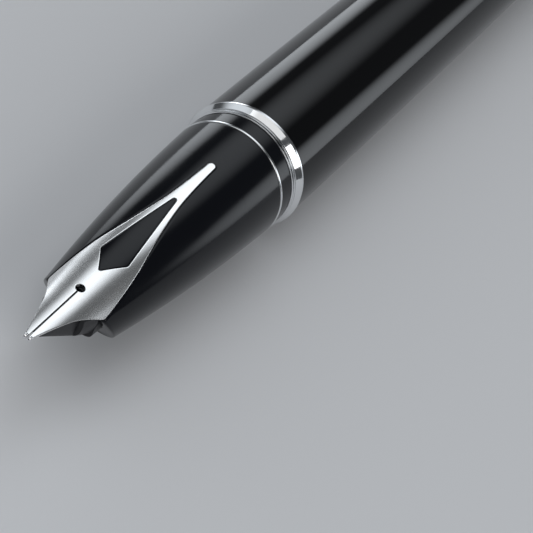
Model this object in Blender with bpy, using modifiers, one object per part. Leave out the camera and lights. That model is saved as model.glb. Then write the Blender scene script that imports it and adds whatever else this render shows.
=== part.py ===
"""Fountain pen with an inlaid nib, a screw-on barrel and a piston converter.

The pen lies along X with the nib at -X and the upper face of the nib up.  Everything is
placed by its station, the distance behind the nib's point.  The origin is under the middle
of the pen, level with the underside of its widest ring.
"""
import math

import bmesh
import bpy
from mathutils import Matrix, Vector

MM = 0.001
CUT_MARGIN = 1.0 * MM       # how far a cutter reaches past what it cuts

# ---- facets
BARREL_FACETS = 32
GRIP_FACETS = 48
INNER_FACETS = 24

# ---- clearances
SEAT_GAP = 0.05 * MM        # between a piece and the bore or pocket that holds it
FACE_GAP = 0.02 * MM        # between the faces of two pieces stacked along the pen
RUNNING_GAP = 0.10 * MM     # round a piece that turns or slides
PULL_GAP = 0.35 * MM        # round the converter as it is drawn out of the coupling

# ---- nib
NIB_REACH = 8.08 * MM       # nib point to the front edge of the grip section
NIB_DROOP = 0.69 * MM       # how much nearer the axis the nib is at its point
NIB_THICKNESS = 0.32 * MM
NIB_SHOULDER = 3.05 * MM    # half width of the nib where it enters the section
INLAY_LENGTH = 20.6 * MM    # the part of the nib that is let into the section
INLAY_TAIL_WIDTH = 0.36 * MM
NIB_POINT_WIDTH = 0.44 * MM
SLIT_WIDTH = 0.12 * MM
BREATHER_RADIUS = 0.41 * MM
BREATHER_SETBACK = 0.23 * MM
WINDOW_START = 2.47 * MM    # behind the section's front edge
WINDOW_WIDEST = 2.55 * MM   # behind the window's own point
WINDOW_LENGTH = 11.85 * MM
WINDOW_HALF_WIDTH = 1.52 * MM
TIPPING_LENGTH = 0.53 * MM
TIPPING_DEPTH = 0.34 * MM
TIPPING_WIDTH = 0.44 * MM

# ---- feed and ink supply
FEED_RADIUS = 2.65 * MM
FEED_FRONT = 1.6 * MM
WEDGE_TIP_HEIGHT = 2.33 * MM  # of the feed's lower edge over the axis, at its front
WEDGE_TIP_WIDTH = 0.48 * MM
WEDGE_FALL = 0.53           # of the lower edge, for each length back
WEDGE_SPREAD = 0.27         # of the half width, for each length back
WEDGE_LENGTH = 4.6 * MM     # to the step where the feed's body begins
WEDGE_STEP = 0.45 * MM
WEDGE_SQUARENESS = 8.0
BODY_SQUARENESS = 4.0
INK_SLOT_WIDTH = 0.24 * MM
INK_SLOT_DEPTH = 0.9 * MM
FIN_COUNT = 5
FIN_GROOVE_DEPTH = 0.8 * MM
HOUSING_RADIUS = 3.3 * MM
HOUSING_LENGTH = 3.45 * MM
HOUSING_SPACE = 1.2 * MM
PIPE_RADIUS = 1.6 * MM
PIPE_BORE = 0.6 * MM
PIPE_IN_CONVERTER = 5.0 * MM

# ---- converter
RESERVOIR_RADIUS = 3.5 * MM
RESERVOIR_WALL = 0.6 * MM
RESERVOIR_LENGTH = 34.4 * MM
MOUTH_LENGTH = 6.5 * MM
MOUTH_RIM = 0.05 * MM
MOUTH_SPIGOT = 2.4 * MM
MOUTH_SEAL_LENGTH = 1.0 * MM
MOUTH_SEAL_SETBACK = 1.0 * MM
MOUTH_SEAL_DEPTH = 0.45 * MM
SLEEVE_WALL = 0.2 * MM
SLEEVE_OVERLAP = 9.0 * MM
SLEEVE_LENGTH = 23.5 * MM
GUIDE_LENGTH = 2.8 * MM
ROD_RADIUS = 1.2 * MM
SPINDLE_RADIUS = 3.0 * MM
SPINDLE_NECK = 2.2 * MM
RETAINER_LENGTH = 1.5 * MM
RETAINER_FLANGE = 1.0 * MM
KNOB_LENGTH = 9.1 * MM
KNOB_STEP = 0.15 * MM
KNOB_SOCKET = 3.1 * MM
KNOB_CAVITY = 1.4 * MM
KNOB_PLUG_LENGTH = 0.6 * MM
KNOB_PLUG_REACH = 0.7 * MM
PISTON_LENGTH = 4.5 * MM
PISTON_SOCKET = 2.5 * MM
PISTON_SETBACK = 10.0 * MM  # piston's rear face to the reservoir's rear end less the guide
PISTON_TRAVEL = 18.0 * MM
BALL_RADIUS = 1.0 * MM
BALL_ROLL = 1.6 * MM
PULL_TRAVEL = 15.0 * MM
PULL_END_SPACE = 2.9 * MM

# ---- grip section and coupling
SECTION_LENGTH = 26.32 * MM
SECTION_WALL = 0.973 * MM   # round the feed at the front edge
SECTION_BELLY = 0.391 * MM
SECTION_STEPS = 14
LIP_HEIGHT = 1.79 * MM      # above the axis, where the slanted front face begins
LIP_SLANT = math.atan(0.72)
COUPLING_REACH = 9.7 * MM   # how far the coupling goes into the section
COUPLING_END_WALL = 4.2 * MM
COUPLING_WALL = 0.9 * MM
COUPLING_NECK_STEP = 0.25 * MM
PILOT_STEP = 0.25 * MM
O_RING_RADIUS = 0.4 * MM
O_RING_GROOVE = 0.8 * MM
THREAD_RUNOUT = 0.45 * MM   # thread left over when the barrel comes free
THREAD_CHAMFER = 0.6 * MM
UNSCREW_TRAVEL = 3.3 * MM

# ---- rings
THIN_RING_WIDTH = 0.3 * MM
THIN_RING_STEP = 0.035 * MM
BAND_WIDTH = 1.74 * MM
BAND_WALL = 1.065 * MM
DOUBLE_RING_WIDTH = 0.52 * MM
DOUBLE_RING_STEP = 0.105 * MM
MOUTH_RING_WIDTH = 0.76 * MM
MOUTH_RING_FLARE = 0.34 * MM
MOUTH_RING_STEP = 0.14 * MM
MOUTH_LIP_WIDTH = 0.3 * MM
MOUTH_LIP_STEP = 0.1 * MM
MOUTH_SPIGOT_LENGTH = 1.8 * MM

# ---- barrel and tail
INSERT_WALL = 1.05 * MM
INSERT_LENGTH = 3.5 * MM
BARREL_FRONT_WALL = 0.51 * MM
BARREL_WALL = 0.96 * MM
BARREL_TAPER_POWER = 1.9
BARREL_STEPS = 10
TAIL_KNOB_SPACE = 0.7 * MM
TAIL_WALL = 0.8 * MM
PLUG_LENGTH = 7.5 * MM
TAIL_RING_WIDTH = 1.0 * MM
TAIL_RING_STEP = 0.1 * MM
CAP_LENGTH = 4.0 * MM
CAP_STEP = 0.05 * MM
CAP_END_RADIUS = 3.9 * MM
STUD_RADIUS = 2.5 * MM
STUD_LENGTH = 7.0 * MM

# ---- radii that follow from what fits inside what
SLEEVE_RADIUS = RESERVOIR_RADIUS + SEAT_GAP + SLEEVE_WALL
RESERVOIR_BORE = RESERVOIR_RADIUS - RESERVOIR_WALL
KNOB_RADIUS = SLEEVE_RADIUS + KNOB_STEP
MOUTH_RADIUS = RESERVOIR_RADIUS + MOUTH_RIM
SOCKET_BORE = MOUTH_RADIUS + RUNNING_GAP
COUPLING_BORE = RESERVOIR_RADIUS + PULL_GAP
THREAD_RADIUS = COUPLING_BORE + COUPLING_WALL
COUPLING_NECK = THREAD_RADIUS - COUPLING_NECK_STEP
PILOT_RADIUS = THREAD_RADIUS + PILOT_STEP
RING_BORE = PILOT_RADIUS + SEAT_GAP
BAND_RADIUS = RING_BORE + BAND_WALL - SEAT_GAP / 2
SECTION_REAR_RADIUS = RING_BORE + BAND_WALL
SECTION_FRONT_RADIUS = FEED_RADIUS + SEAT_GAP + SECTION_WALL
INSERT_BORE = THREAD_RADIUS + RUNNING_GAP
INSERT_RADIUS = INSERT_BORE + INSERT_WALL
BARREL_MOUTH_BORE = INSERT_RADIUS + SEAT_GAP
BARREL_RADIUS = BARREL_MOUTH_BORE + BARREL_FRONT_WALL
WIDEST_RADIUS = BARREL_RADIUS + MOUTH_RING_STEP
TAIL_BORE = KNOB_RADIUS + TAIL_KNOB_SPACE
BARREL_TAIL_RADIUS = TAIL_BORE + TAIL_WALL
AXIS_HEIGHT = WIDEST_RADIUS * math.cos(math.pi / BARREL_FACETS)

# ---- stations, measured from the nib's point
SECTION_FRONT = NIB_REACH
SECTION_REAR = SECTION_FRONT + SECTION_LENGTH
INLAY_REAR = SECTION_FRONT + INLAY_LENGTH
COUPLING_FRONT = SECTION_REAR - COUPLING_REACH
HOUSING_REAR = COUPLING_FRONT - HOUSING_SPACE
HOUSING_FRONT = HOUSING_REAR - HOUSING_LENGTH
FEED_REAR = HOUSING_FRONT - SEAT_GAP
THIN_RING_FRONT = SECTION_REAR + FACE_GAP
BAND_FRONT = THIN_RING_FRONT + THIN_RING_WIDTH + FACE_GAP
DOUBLE_RING_FRONT = BAND_FRONT + BAND_WIDTH + FACE_GAP
MOUTH_RING_FRONT = DOUBLE_RING_FRONT + DOUBLE_RING_WIDTH + FACE_GAP
MOUTH_RING_REAR = MOUTH_RING_FRONT + MOUTH_RING_WIDTH
MOUTH_LIP_REAR = MOUTH_RING_REAR + MOUTH_LIP_WIDTH
MOUTH_SPIGOT_REAR = MOUTH_RING_REAR + MOUTH_SPIGOT_LENGTH
BARREL_FRONT = MOUTH_LIP_REAR + FACE_GAP
INSERT_FRONT = MOUTH_SPIGOT_REAR + RUNNING_GAP
INSERT_REAR = INSERT_FRONT + INSERT_LENGTH
O_RING_FRONT = MOUTH_RING_REAR + SEAT_GAP
O_RING_STATION = O_RING_FRONT + SEAT_GAP + O_RING_RADIUS
THREAD_FRONT = O_RING_STATION + O_RING_RADIUS + SEAT_GAP
THREAD_REAR = THREAD_FRONT + UNSCREW_TRAVEL + THREAD_RUNOUT
COUPLING_REAR = THREAD_REAR + THREAD_CHAMFER
CONVERTER_FRONT = COUPLING_FRONT + COUPLING_END_WALL + RUNNING_GAP
PIPE_REAR = CONVERTER_FRONT + PIPE_IN_CONVERTER
MOUTH_REAR = CONVERTER_FRONT + MOUTH_LENGTH
RESERVOIR_FRONT = MOUTH_REAR + RUNNING_GAP
RESERVOIR_REAR = RESERVOIR_FRONT + RESERVOIR_LENGTH
SLEEVE_FRONT = RESERVOIR_REAR - SLEEVE_OVERLAP
SLEEVE_REAR = SLEEVE_FRONT + SLEEVE_LENGTH
GUIDE_FRONT = RESERVOIR_REAR + RUNNING_GAP
GUIDE_REAR = GUIDE_FRONT + GUIDE_LENGTH
SPINDLE_FRONT = GUIDE_REAR + RUNNING_GAP
RETAINER_REAR = SLEEVE_REAR + FACE_GAP + RETAINER_FLANGE
RETAINER_FRONT = RETAINER_REAR - RETAINER_LENGTH
SPINDLE_SHOULDER = RETAINER_FRONT - RUNNING_GAP
KNOB_FRONT = RETAINER_REAR + RUNNING_GAP
KNOB_REAR = KNOB_FRONT + KNOB_LENGTH
SPINDLE_REAR = KNOB_FRONT + KNOB_SOCKET - RUNNING_GAP
CONVERTER_REAR = KNOB_REAR + FACE_GAP + KNOB_PLUG_LENGTH
PISTON_FRONT = RESERVOIR_REAR - PISTON_SETBACK
PISTON_REAR = PISTON_FRONT + PISTON_LENGTH
ROD_FRONT = PISTON_REAR - PISTON_SOCKET + SEAT_GAP
ROD_REAR = KNOB_REAR - KNOB_PLUG_REACH - 0.4 * MM
BALL_STATION = PISTON_FRONT - PISTON_TRAVEL - BALL_RADIUS - BALL_ROLL - RUNNING_GAP
PLUG_FRONT = CONVERTER_REAR + PULL_TRAVEL + PULL_END_SPACE
BARREL_REAR = PLUG_FRONT + PLUG_LENGTH
PLUG_REAR = BARREL_REAR - RUNNING_GAP
TAIL_RING_FRONT = BARREL_REAR + FACE_GAP
TAIL_RING_REAR = TAIL_RING_FRONT + TAIL_RING_WIDTH
CAP_FRONT = TAIL_RING_REAR + FACE_GAP
PEN_LENGTH = CAP_FRONT + CAP_LENGTH
STUD_FRONT = CAP_FRONT - STUD_LENGTH

for old in list(bpy.data.objects):
    bpy.data.objects.remove(old)

pen = bpy.data.collections.new("fountain_pen")
cutters = bpy.data.collections.new("cutters")
bpy.context.scene.collection.children.link(pen)
bpy.context.scene.collection.children.link(cutters)


# ---- materials
def finish(name, color, metallic, roughness):
    """A Principled BSDF material."""
    made = bpy.data.materials.new(name)
    made.use_nodes = True
    shader = made.node_tree.nodes["Principled BSDF"]
    shader.inputs["Base Color"].default_value = (*color, 1.0)
    shader.inputs["Metallic"].default_value = metallic
    shader.inputs["Roughness"].default_value = roughness
    return made


BLACK_RESIN = finish("black_resin", (0.008, 0.008, 0.010), 0.0, 0.12)
BRIGHT_STEEL = finish("bright_steel", (0.72, 0.72, 0.70), 1.0, 0.22)
CHROME = finish("chrome", (0.60, 0.61, 0.62), 1.0, 0.08)
TIPPING_ALLOY = finish("tipping_alloy", (0.66, 0.67, 0.68), 1.0, 0.30)
FEED_PLASTIC = finish("feed_plastic", (0.012, 0.012, 0.013), 0.0, 0.45)
BRASS = finish("brass", (0.60, 0.43, 0.19), 1.0, 0.28)
STEEL = finish("steel", (0.48, 0.49, 0.50), 1.0, 0.32)
RUBBER = finish("rubber", (0.015, 0.015, 0.016), 0.0, 0.62)
CLEAR_PLASTIC = finish("clear_plastic", (0.62, 0.66, 0.68), 0.0, 0.10)
DARK_PLASTIC = finish("dark_plastic", (0.020, 0.020, 0.022), 0.0, 0.35)


# ---- placing
def from_middle(station):
    """World X of a station."""
    return station - PEN_LENGTH / 2


def axis_empty(name, station, parent=None):
    """An empty on the pen's axis with its local Z pointing at the tail."""
    empty = bpy.data.objects.new(name, None)
    pen.objects.link(empty)
    if parent is None:
        empty.location = (from_middle(station), 0.0, AXIS_HEIGHT)
        empty.rotation_euler = (0.0, math.pi / 2, 0.0)
    else:
        empty.parent = parent
        empty.location = (0.0, 0.0, station)
    return empty


pen_axis = axis_empty("pen_axis", 0.0)
seal_axis = axis_empty("seal_axis", 0.0, pen_axis)
trim_axis = axis_empty("trim_axis", 0.0, seal_axis)
barrel_axis = axis_empty("barrel_axis", 0.0, trim_axis)
converter_axis = axis_empty("converter_axis", 0.0, pen_axis)
knob_axis = axis_empty("knob_axis", 0.0, converter_axis)
piston_axis = axis_empty("piston_axis", 0.0, converter_axis)
ball_axis = axis_empty("ball_axis", 0.0, converter_axis)


def put_in(thing, is_cutter):
    """Link an object as a piece of the pen or as a cutter that isn't part of it."""
    if is_cutter:
        cutters.objects.link(thing)
        thing.hide_render = True
        thing.display_type = "WIRE"
    else:
        pen.objects.link(thing)


# ---- shapes
def turned(name, outside, inside=None, facets=BARREL_FACETS, parent=pen_axis,
           material=None, is_cutter=False):
    """A turned piece.

    outside and inside run from front to back as (station, radius).  Without an inside the
    piece is solid.  The profile starts half a facet round, so that a flat is at the bottom.
    """
    if inside is None:
        front, rear = outside[0][0], outside[-1][0]
        profile = [(rear, 0.0)] + outside[::-1] + [(front, 0.0)]
    else:
        profile = outside[::-1] + inside
    origin = outside[0][0]
    start = math.pi / facets
    mesh = bpy.data.meshes.new(name)
    shape = bmesh.new()
    points = [
        shape.verts.new((radius * math.cos(start), radius * math.sin(start), station - origin))
        for station, radius in profile
    ]
    for one, following in zip(points, points[1:]):
        shape.edges.new((one, following))
    if inside is not None:
        shape.edges.new((points[-1], points[0]))
    shape.to_mesh(mesh)
    shape.free()
    piece = bpy.data.objects.new(name, mesh)
    put_in(piece, is_cutter)
    piece.parent = parent
    piece.location = (0.0, 0.0, origin)
    screw = piece.modifiers.new("turn", "SCREW")
    screw.axis = "Z"
    screw.steps = facets
    screw.render_steps = facets
    screw.use_merge_vertices = True
    screw.merge_threshold = 0.00001
    screw.use_smooth_shade = True
    if material is not None:
        mesh.materials.append(material)
    return piece


def outline_prism(name, half_outline, bottom, top, material=None, is_cutter=True):
    """An upright prism on a smooth symmetric outline, with the outline above the pen's axis.

    half_outline is (station, half width, handle) from the front point round one side to the
    rear, where the handle is the curve's direction and length at that point.
    """
    curve = bpy.data.curves.new(name + "_curve", "CURVE")
    curve.dimensions = "2D"
    curve.fill_mode = "BOTH"
    curve.extrude = (top - bottom) / 2
    curve.resolution_u = 6
    other_side = [point for point in half_outline[::-1] if point[1] > 0.0]
    spline = curve.splines.new("BEZIER")
    spline.bezier_points.add(len(half_outline) + len(other_side) - 1)
    for index, (station, width, handle) in enumerate(half_outline):
        point = spline.bezier_points[index]
        place = Vector((from_middle(station), width, 0.0))
        point.co = place
        point.handle_left = place - Vector((*handle, 0.0))
        point.handle_right = place + Vector((*handle, 0.0))
    for index, (station, width, handle) in enumerate(other_side, len(half_outline)):
        point = spline.bezier_points[index]
        place = Vector((from_middle(station), -width, 0.0))
        back = Vector((-handle[0], handle[1], 0.0))
        point.co = place
        point.handle_left = place - back
        point.handle_right = place + back
    spline.use_cyclic_u = True
    carrier = bpy.data.objects.new(name + "_carrier", curve)
    carrier.location = (0.0, 0.0, AXIS_HEIGHT + (top + bottom) / 2)
    cutters.objects.link(carrier)
    bpy.context.view_layer.update()
    drawn = carrier.evaluated_get(bpy.context.evaluated_depsgraph_get())
    mesh = bpy.data.meshes.new_from_object(drawn)
    mesh.name = name
    shape = bmesh.new()
    shape.from_mesh(mesh)
    bmesh.ops.remove_doubles(shape, verts=shape.verts, dist=0.000002)
    bmesh.ops.recalc_face_normals(shape, faces=shape.faces)
    shape.to_mesh(mesh)
    shape.free()
    prism = bpy.data.objects.new(name, mesh)
    prism.matrix_world = carrier.matrix_world
    put_in(prism, is_cutter)
    bpy.data.objects.remove(carrier)
    if material is not None:
        mesh.materials.append(material)
    return prism


def box_cutter(name, size, station, across, height, slant=0.0):
    """A box that cuts: its middle is at a station, a distance across and a height."""
    mesh = bpy.data.meshes.new(name)
    shape = bmesh.new()
    bmesh.ops.create_cube(shape, size=1.0, matrix=Matrix.Diagonal((*size, 1.0)))
    shape.to_mesh(mesh)
    shape.free()
    cutter = bpy.data.objects.new(name, mesh)
    put_in(cutter, True)
    cutter.location = (from_middle(station), across, AXIS_HEIGHT + height)
    cutter.rotation_euler = (0.0, slant, 0.0)
    return cutter


def combine(piece, operation, other):
    """Add one exact Boolean to a piece."""
    step = piece.modifiers.new(other.name, "BOOLEAN")
    step.operation = operation
    step.object = other
    step.solver = "EXACT"


# ---- grip section, with the nib let into its upper face
def skin_radius(station):
    """The outer radius of the section, and of the nib in front of it."""
    if station < SECTION_FRONT:
        return SECTION_FRONT_RADIUS - NIB_DROOP * (SECTION_FRONT - station) / NIB_REACH
    along = (station - SECTION_FRONT) / SECTION_LENGTH
    cone = SECTION_FRONT_RADIUS + (SECTION_REAR_RADIUS - SECTION_FRONT_RADIUS) * along
    return cone + 4 * SECTION_BELLY * along * (1 - along)


section_stations = [
    SECTION_FRONT + SECTION_LENGTH * step / SECTION_STEPS for step in range(SECTION_STEPS + 1)
]
nib_front_stations = [SECTION_FRONT * step / 4 for step in range(4)]
nib_front_stations[0] = -CUT_MARGIN


def skin(stations, depth):
    """A profile that lies at a depth under the section's skin."""
    return [(station, skin_radius(station) - depth) for station in stations]


def nib_outline(margin):
    """The nib's outline from above, grown by a margin."""
    point = TIPPING_LENGTH - margin
    return [
        (point, NIB_POINT_WIDTH + margin, (0.0, 0.0)),
        (SECTION_FRONT * 0.55, NIB_SHOULDER * 0.50 + margin, (1.6 * MM, 0.50 * MM)),
        (SECTION_FRONT, NIB_SHOULDER + margin, (0.45 * MM, 0.06 * MM)),
        (SECTION_FRONT + INLAY_LENGTH * 0.31, NIB_SHOULDER * 0.72 + margin,
         (2.0 * MM, -0.50 * MM)),
        (SECTION_FRONT + INLAY_LENGTH * 0.66, NIB_SHOULDER * 0.265 + margin,
         (2.2 * MM, -0.30 * MM)),
        (INLAY_REAR - INLAY_TAIL_WIDTH, INLAY_TAIL_WIDTH + margin, (0.2 * MM, -0.01 * MM)),
        (INLAY_REAR + margin, 0.0, (0.0, -0.2 * MM)),
    ]


def window_outline(margin):
    """The opening in the nib's plate that the section shows through, shrunk by a margin."""
    front = SECTION_FRONT + WINDOW_START
    widest = front + WINDOW_WIDEST
    rear = front + WINDOW_LENGTH
    return [
        (front + margin, 0.0, (0.0, 0.18 * MM)),
        (widest, WINDOW_HALF_WIDTH - margin, (0.75 * MM, 0.0)),
        (rear - 0.9 * MM, 0.28 * MM - margin / 2, (0.35 * MM, -0.07 * MM)),
        (rear - margin, 0.0, (0.0, -0.08 * MM)),
    ]


nib_stations = nib_front_stations + [s for s in section_stations if s < INLAY_REAR + 3 * MM]
under_nib = 0.65 * MM        # heights over the axis between which the outlines cut
above_nib = SECTION_REAR_RADIUS + 2 * CUT_MARGIN

nib_cut = outline_prism("nib_cut", nib_outline(0.0), under_nib, above_nib)
pocket_cut = outline_prism("pocket_cut", nib_outline(SEAT_GAP), under_nib, above_nib)
window_cut = outline_prism("window_cut", window_outline(0.0), under_nib, above_nib)
island_cut = outline_prism("island_cut", window_outline(SEAT_GAP), under_nib, above_nib)

section_bore = FEED_RADIUS + SEAT_GAP
housing_bore = HOUSING_RADIUS + SEAT_GAP
coupling_seat = COUPLING_NECK + SEAT_GAP
section = turned(
    "grip_section",
    skin(section_stations, 0.0),
    [
        (SECTION_FRONT, section_bore),
        (HOUSING_FRONT - RUNNING_GAP, section_bore),
        (HOUSING_FRONT - RUNNING_GAP, housing_bore),
        (COUPLING_FRONT - RUNNING_GAP, housing_bore),
        (COUPLING_FRONT - RUNNING_GAP, coupling_seat),
        (SECTION_REAR, coupling_seat),
    ],
    facets=GRIP_FACETS, material=BLACK_RESIN)

pocket = turned(
    "nib_pocket",
    skin(nib_stations, -CUT_MARGIN),
    skin(nib_stations, NIB_THICKNESS + SEAT_GAP),
    facets=GRIP_FACETS, is_cutter=True)
combine(pocket, "INTERSECT", pocket_cut)
combine(pocket, "DIFFERENCE", island_cut)
combine(section, "DIFFERENCE", pocket)

lip_size = 20 * MM
lip_cut = box_cutter(
    "slanted_front", (lip_size, lip_size, 2 * lip_size),
    SECTION_FRONT - lip_size / 2 * math.cos(LIP_SLANT),
    0.0, LIP_HEIGHT - lip_size / 2 * math.sin(LIP_SLANT), slant=-LIP_SLANT)
combine(section, "DIFFERENCE", lip_cut)

# ---- nib and its hard point
nib = turned(
    "nib", skin(nib_stations, 0.0), skin(nib_stations, NIB_THICKNESS),
    facets=GRIP_FACETS, material=BRIGHT_STEEL)
combine(nib, "INTERSECT", nib_cut)
combine(nib, "DIFFERENCE", window_cut)
breather_station = SECTION_FRONT - BREATHER_SETBACK
slit_cut = box_cutter(
    "slit", (breather_station + MM, SLIT_WIDTH, 2 * SECTION_REAR_RADIUS),
    (breather_station - MM) / 2, 0.0, SECTION_REAR_RADIUS + MM)
breather_mesh = bpy.data.meshes.new("breather_hole")
breather_shape = bmesh.new()
bmesh.ops.create_cone(
    breather_shape, cap_ends=True, segments=16, radius1=BREATHER_RADIUS,
    radius2=BREATHER_RADIUS, depth=2 * SECTION_REAR_RADIUS)
breather_shape.to_mesh(breather_mesh)
breather_shape.free()
breather = bpy.data.objects.new("breather_hole", breather_mesh)
put_in(breather, True)
breather.location = (from_middle(breather_station), 0.0, AXIS_HEIGHT + SECTION_REAR_RADIUS + MM)
combine(nib, "DIFFERENCE", slit_cut)
combine(nib, "DIFFERENCE", breather)


def tipping(name, side):
    """Half of the hard alloy pellet on the nib's point, on one side of the slit."""
    mesh = bpy.data.meshes.new(name)
    shape = bmesh.new()
    bmesh.ops.create_uvsphere(shape, u_segments=16, v_segments=10, radius=1.0)
    length = TIPPING_LENGTH - FACE_GAP
    bmesh.ops.scale(shape, vec=(length, TIPPING_WIDTH, TIPPING_DEPTH), verts=shape.verts)
    inner_face = side * SLIT_WIDTH / 2
    for place, normal in (((0, 0, 0), (1, 0, 0)), ((0, inner_face, 0), (0, -side, 0))):
        everything = list(shape.verts) + list(shape.edges) + list(shape.faces)
        cut = bmesh.ops.bisect_plane(
            shape, geom=everything, plane_co=place, plane_no=normal, clear_outer=True)
        rim = [part for part in cut["geom_cut"] if isinstance(part, bmesh.types.BMEdge)]
        bmesh.ops.contextual_create(shape, geom=rim)
    bmesh.ops.recalc_face_normals(shape, faces=shape.faces)
    shape.to_mesh(mesh)
    shape.free()
    mesh.materials.append(TIPPING_ALLOY)
    pellet = bpy.data.objects.new(name, mesh)
    put_in(pellet, False)
    middle = skin_radius(0.0) - NIB_THICKNESS / 2
    pellet.location = (from_middle(length), 0.0, AXIS_HEIGHT + middle)


tipping("nib_tipping_left", 1)
tipping("nib_tipping_right", -1)


# ---- feed: a wedge under the nib that grows into a finned plug in the section's bore
def feed_ring(station, half_width, top_radius, bottom, squareness):
    """One cross-section of the feed: an arc on top, and sides and a bottom of any squareness."""
    arc_points, lower_points = 13, 13
    shoulder = math.sqrt(max(0.0, top_radius ** 2 - half_width ** 2))
    ring = []
    for index in range(arc_points):
        across = half_width * math.cos(math.pi * index / (arc_points - 1))
        ring.append((station, across, math.sqrt(max(0.0, top_radius ** 2 - across ** 2))))
    for index in range(1, lower_points - 1):
        turn = math.pi * index / (lower_points - 1)
        across = -math.copysign(abs(math.cos(turn)) ** (2 / squareness), math.cos(turn))
        depth = math.sin(turn) ** (2 / squareness)
        ring.append((station, half_width * across, shoulder - (shoulder - bottom) * depth))
    return ring


wedge_rear = FEED_FRONT + WEDGE_LENGTH
bore_entry = SECTION_FRONT - RUNNING_GAP
body_rear = FEED_FRONT + (WEDGE_TIP_HEIGHT + FEED_RADIUS) / WEDGE_FALL
feed_rings = []
for step in range(4):
    back = WEDGE_LENGTH * step / 3
    feed_rings.append(feed_ring(
        FEED_FRONT + back, WEDGE_TIP_WIDTH + WEDGE_SPREAD * back,
        skin_radius(FEED_FRONT + back) - NIB_THICKNESS - RUNNING_GAP,
        WEDGE_TIP_HEIGHT - WEDGE_FALL * back, WEDGE_SQUARENESS))
body_width = WEDGE_TIP_WIDTH + WEDGE_SPREAD * WEDGE_LENGTH + WEDGE_STEP
for station in (wedge_rear + SEAT_GAP, bore_entry - 0.8 * MM, bore_entry,
                (bore_entry + body_rear) / 2, body_rear):
    widened = min(1.0, (station - wedge_rear) / (bore_entry - wedge_rear))
    rounded = (station - wedge_rear) / (body_rear - wedge_rear)
    top_radius = FEED_RADIUS
    if station < bore_entry:
        top_radius = skin_radius(station) - NIB_THICKNESS - RUNNING_GAP
    feed_rings.append(feed_ring(
        station, body_width + (FEED_RADIUS - body_width) * widened, top_radius,
        WEDGE_TIP_HEIGHT - WEDGE_FALL * (station - FEED_FRONT),
        BODY_SQUARENESS + (2.0 - BODY_SQUARENESS) * rounded))
feed_rings.append(feed_ring(FEED_REAR, FEED_RADIUS, FEED_RADIUS, -FEED_RADIUS, 2.0))

feed_mesh = bpy.data.meshes.new("feed")
feed_shape = bmesh.new()
rings = [
    [feed_shape.verts.new((x - FEED_FRONT, y, z)) for x, y, z in ring] for ring in feed_rings
]
for front_ring, rear_ring in zip(rings, rings[1:]):
    for index, vert in enumerate(front_ring):
        after = (index + 1) % len(front_ring)
        feed_shape.faces.new((vert, front_ring[after], rear_ring[after], rear_ring[index]))
feed_shape.faces.new(rings[0])
feed_shape.faces.new(rings[-1])
bmesh.ops.recalc_face_normals(feed_shape, faces=feed_shape.faces)
feed_shape.to_mesh(feed_mesh)
feed_shape.free()
feed_mesh.materials.append(FEED_PLASTIC)
feed = bpy.data.objects.new("feed", feed_mesh)
put_in(feed, False)
feed.location = (from_middle(FEED_FRONT), 0.0, AXIS_HEIGHT)

fin_front = body_rear + 1.2 * MM
fin_pitch = (FEED_REAR - MM - fin_front) / FIN_COUNT
for number in range(FIN_COUNT):
    groove_front = fin_front + fin_pitch * number
    groove_rear = groove_front + fin_pitch / 2
    groove = turned(
        f"feed_groove_{number + 1}",
        [(groove_front, FEED_RADIUS + MM), (groove_rear, FEED_RADIUS + MM)],
        [(groove_front, FEED_RADIUS - FIN_GROOVE_DEPTH),
         (groove_rear, FEED_RADIUS - FIN_GROOVE_DEPTH)],
        facets=INNER_FACETS, is_cutter=True)
    combine(feed, "DIFFERENCE", groove)
ink_slot_front = SECTION_FRONT - 2.4 * MM
ink_slot_length = FEED_REAR + MM - ink_slot_front
ink_slot_bottom = FEED_RADIUS - INK_SLOT_DEPTH
combine(feed, "DIFFERENCE", box_cutter(
    "ink_slot", (ink_slot_length, INK_SLOT_WIDTH, 3 * MM),
    ink_slot_front + ink_slot_length / 2, 0.0, ink_slot_bottom + 1.5 * MM))

pipe_seat = PIPE_RADIUS + SEAT_GAP
turned(
    "feed_housing",
    [(HOUSING_FRONT, HOUSING_RADIUS), (HOUSING_REAR, HOUSING_RADIUS)],
    [(HOUSING_FRONT, pipe_seat), (HOUSING_REAR, pipe_seat)],
    facets=INNER_FACETS, material=FEED_PLASTIC)
turned(
    "inlet_pipe",
    [(HOUSING_FRONT + SEAT_GAP, PIPE_RADIUS), (PIPE_REAR, PIPE_RADIUS)],
    [(HOUSING_FRONT + SEAT_GAP, PIPE_BORE), (PIPE_REAR, PIPE_BORE)],
    facets=INNER_FACETS, material=STEEL)

# ---- threaded coupling, glued into the section; its thread is left plain here
turned(
    "threaded_coupling",
    [
        (COUPLING_FRONT, COUPLING_NECK),
        (SECTION_REAR + FACE_GAP / 2, COUPLING_NECK),
        (SECTION_REAR + FACE_GAP / 2, PILOT_RADIUS),
        (O_RING_FRONT, PILOT_RADIUS),
        (O_RING_FRONT, PILOT_RADIUS - O_RING_GROOVE),
        (THREAD_FRONT, PILOT_RADIUS - O_RING_GROOVE),
        (THREAD_FRONT, THREAD_RADIUS),
        (THREAD_REAR, THREAD_RADIUS),
        (COUPLING_REAR, THREAD_RADIUS - THREAD_CHAMFER / 2),
    ],
    [
        (COUPLING_FRONT, PIPE_RADIUS + SEAT_GAP),
        (CONVERTER_FRONT - RUNNING_GAP, PIPE_RADIUS + SEAT_GAP),
        (CONVERTER_FRONT - RUNNING_GAP, SOCKET_BORE),
        (RESERVOIR_FRONT + 0.4 * MM, SOCKET_BORE),
        (RESERVOIR_FRONT + 0.6 * MM, COUPLING_BORE),
        (COUPLING_REAR, COUPLING_BORE),
    ],
    material=BRASS)


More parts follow.
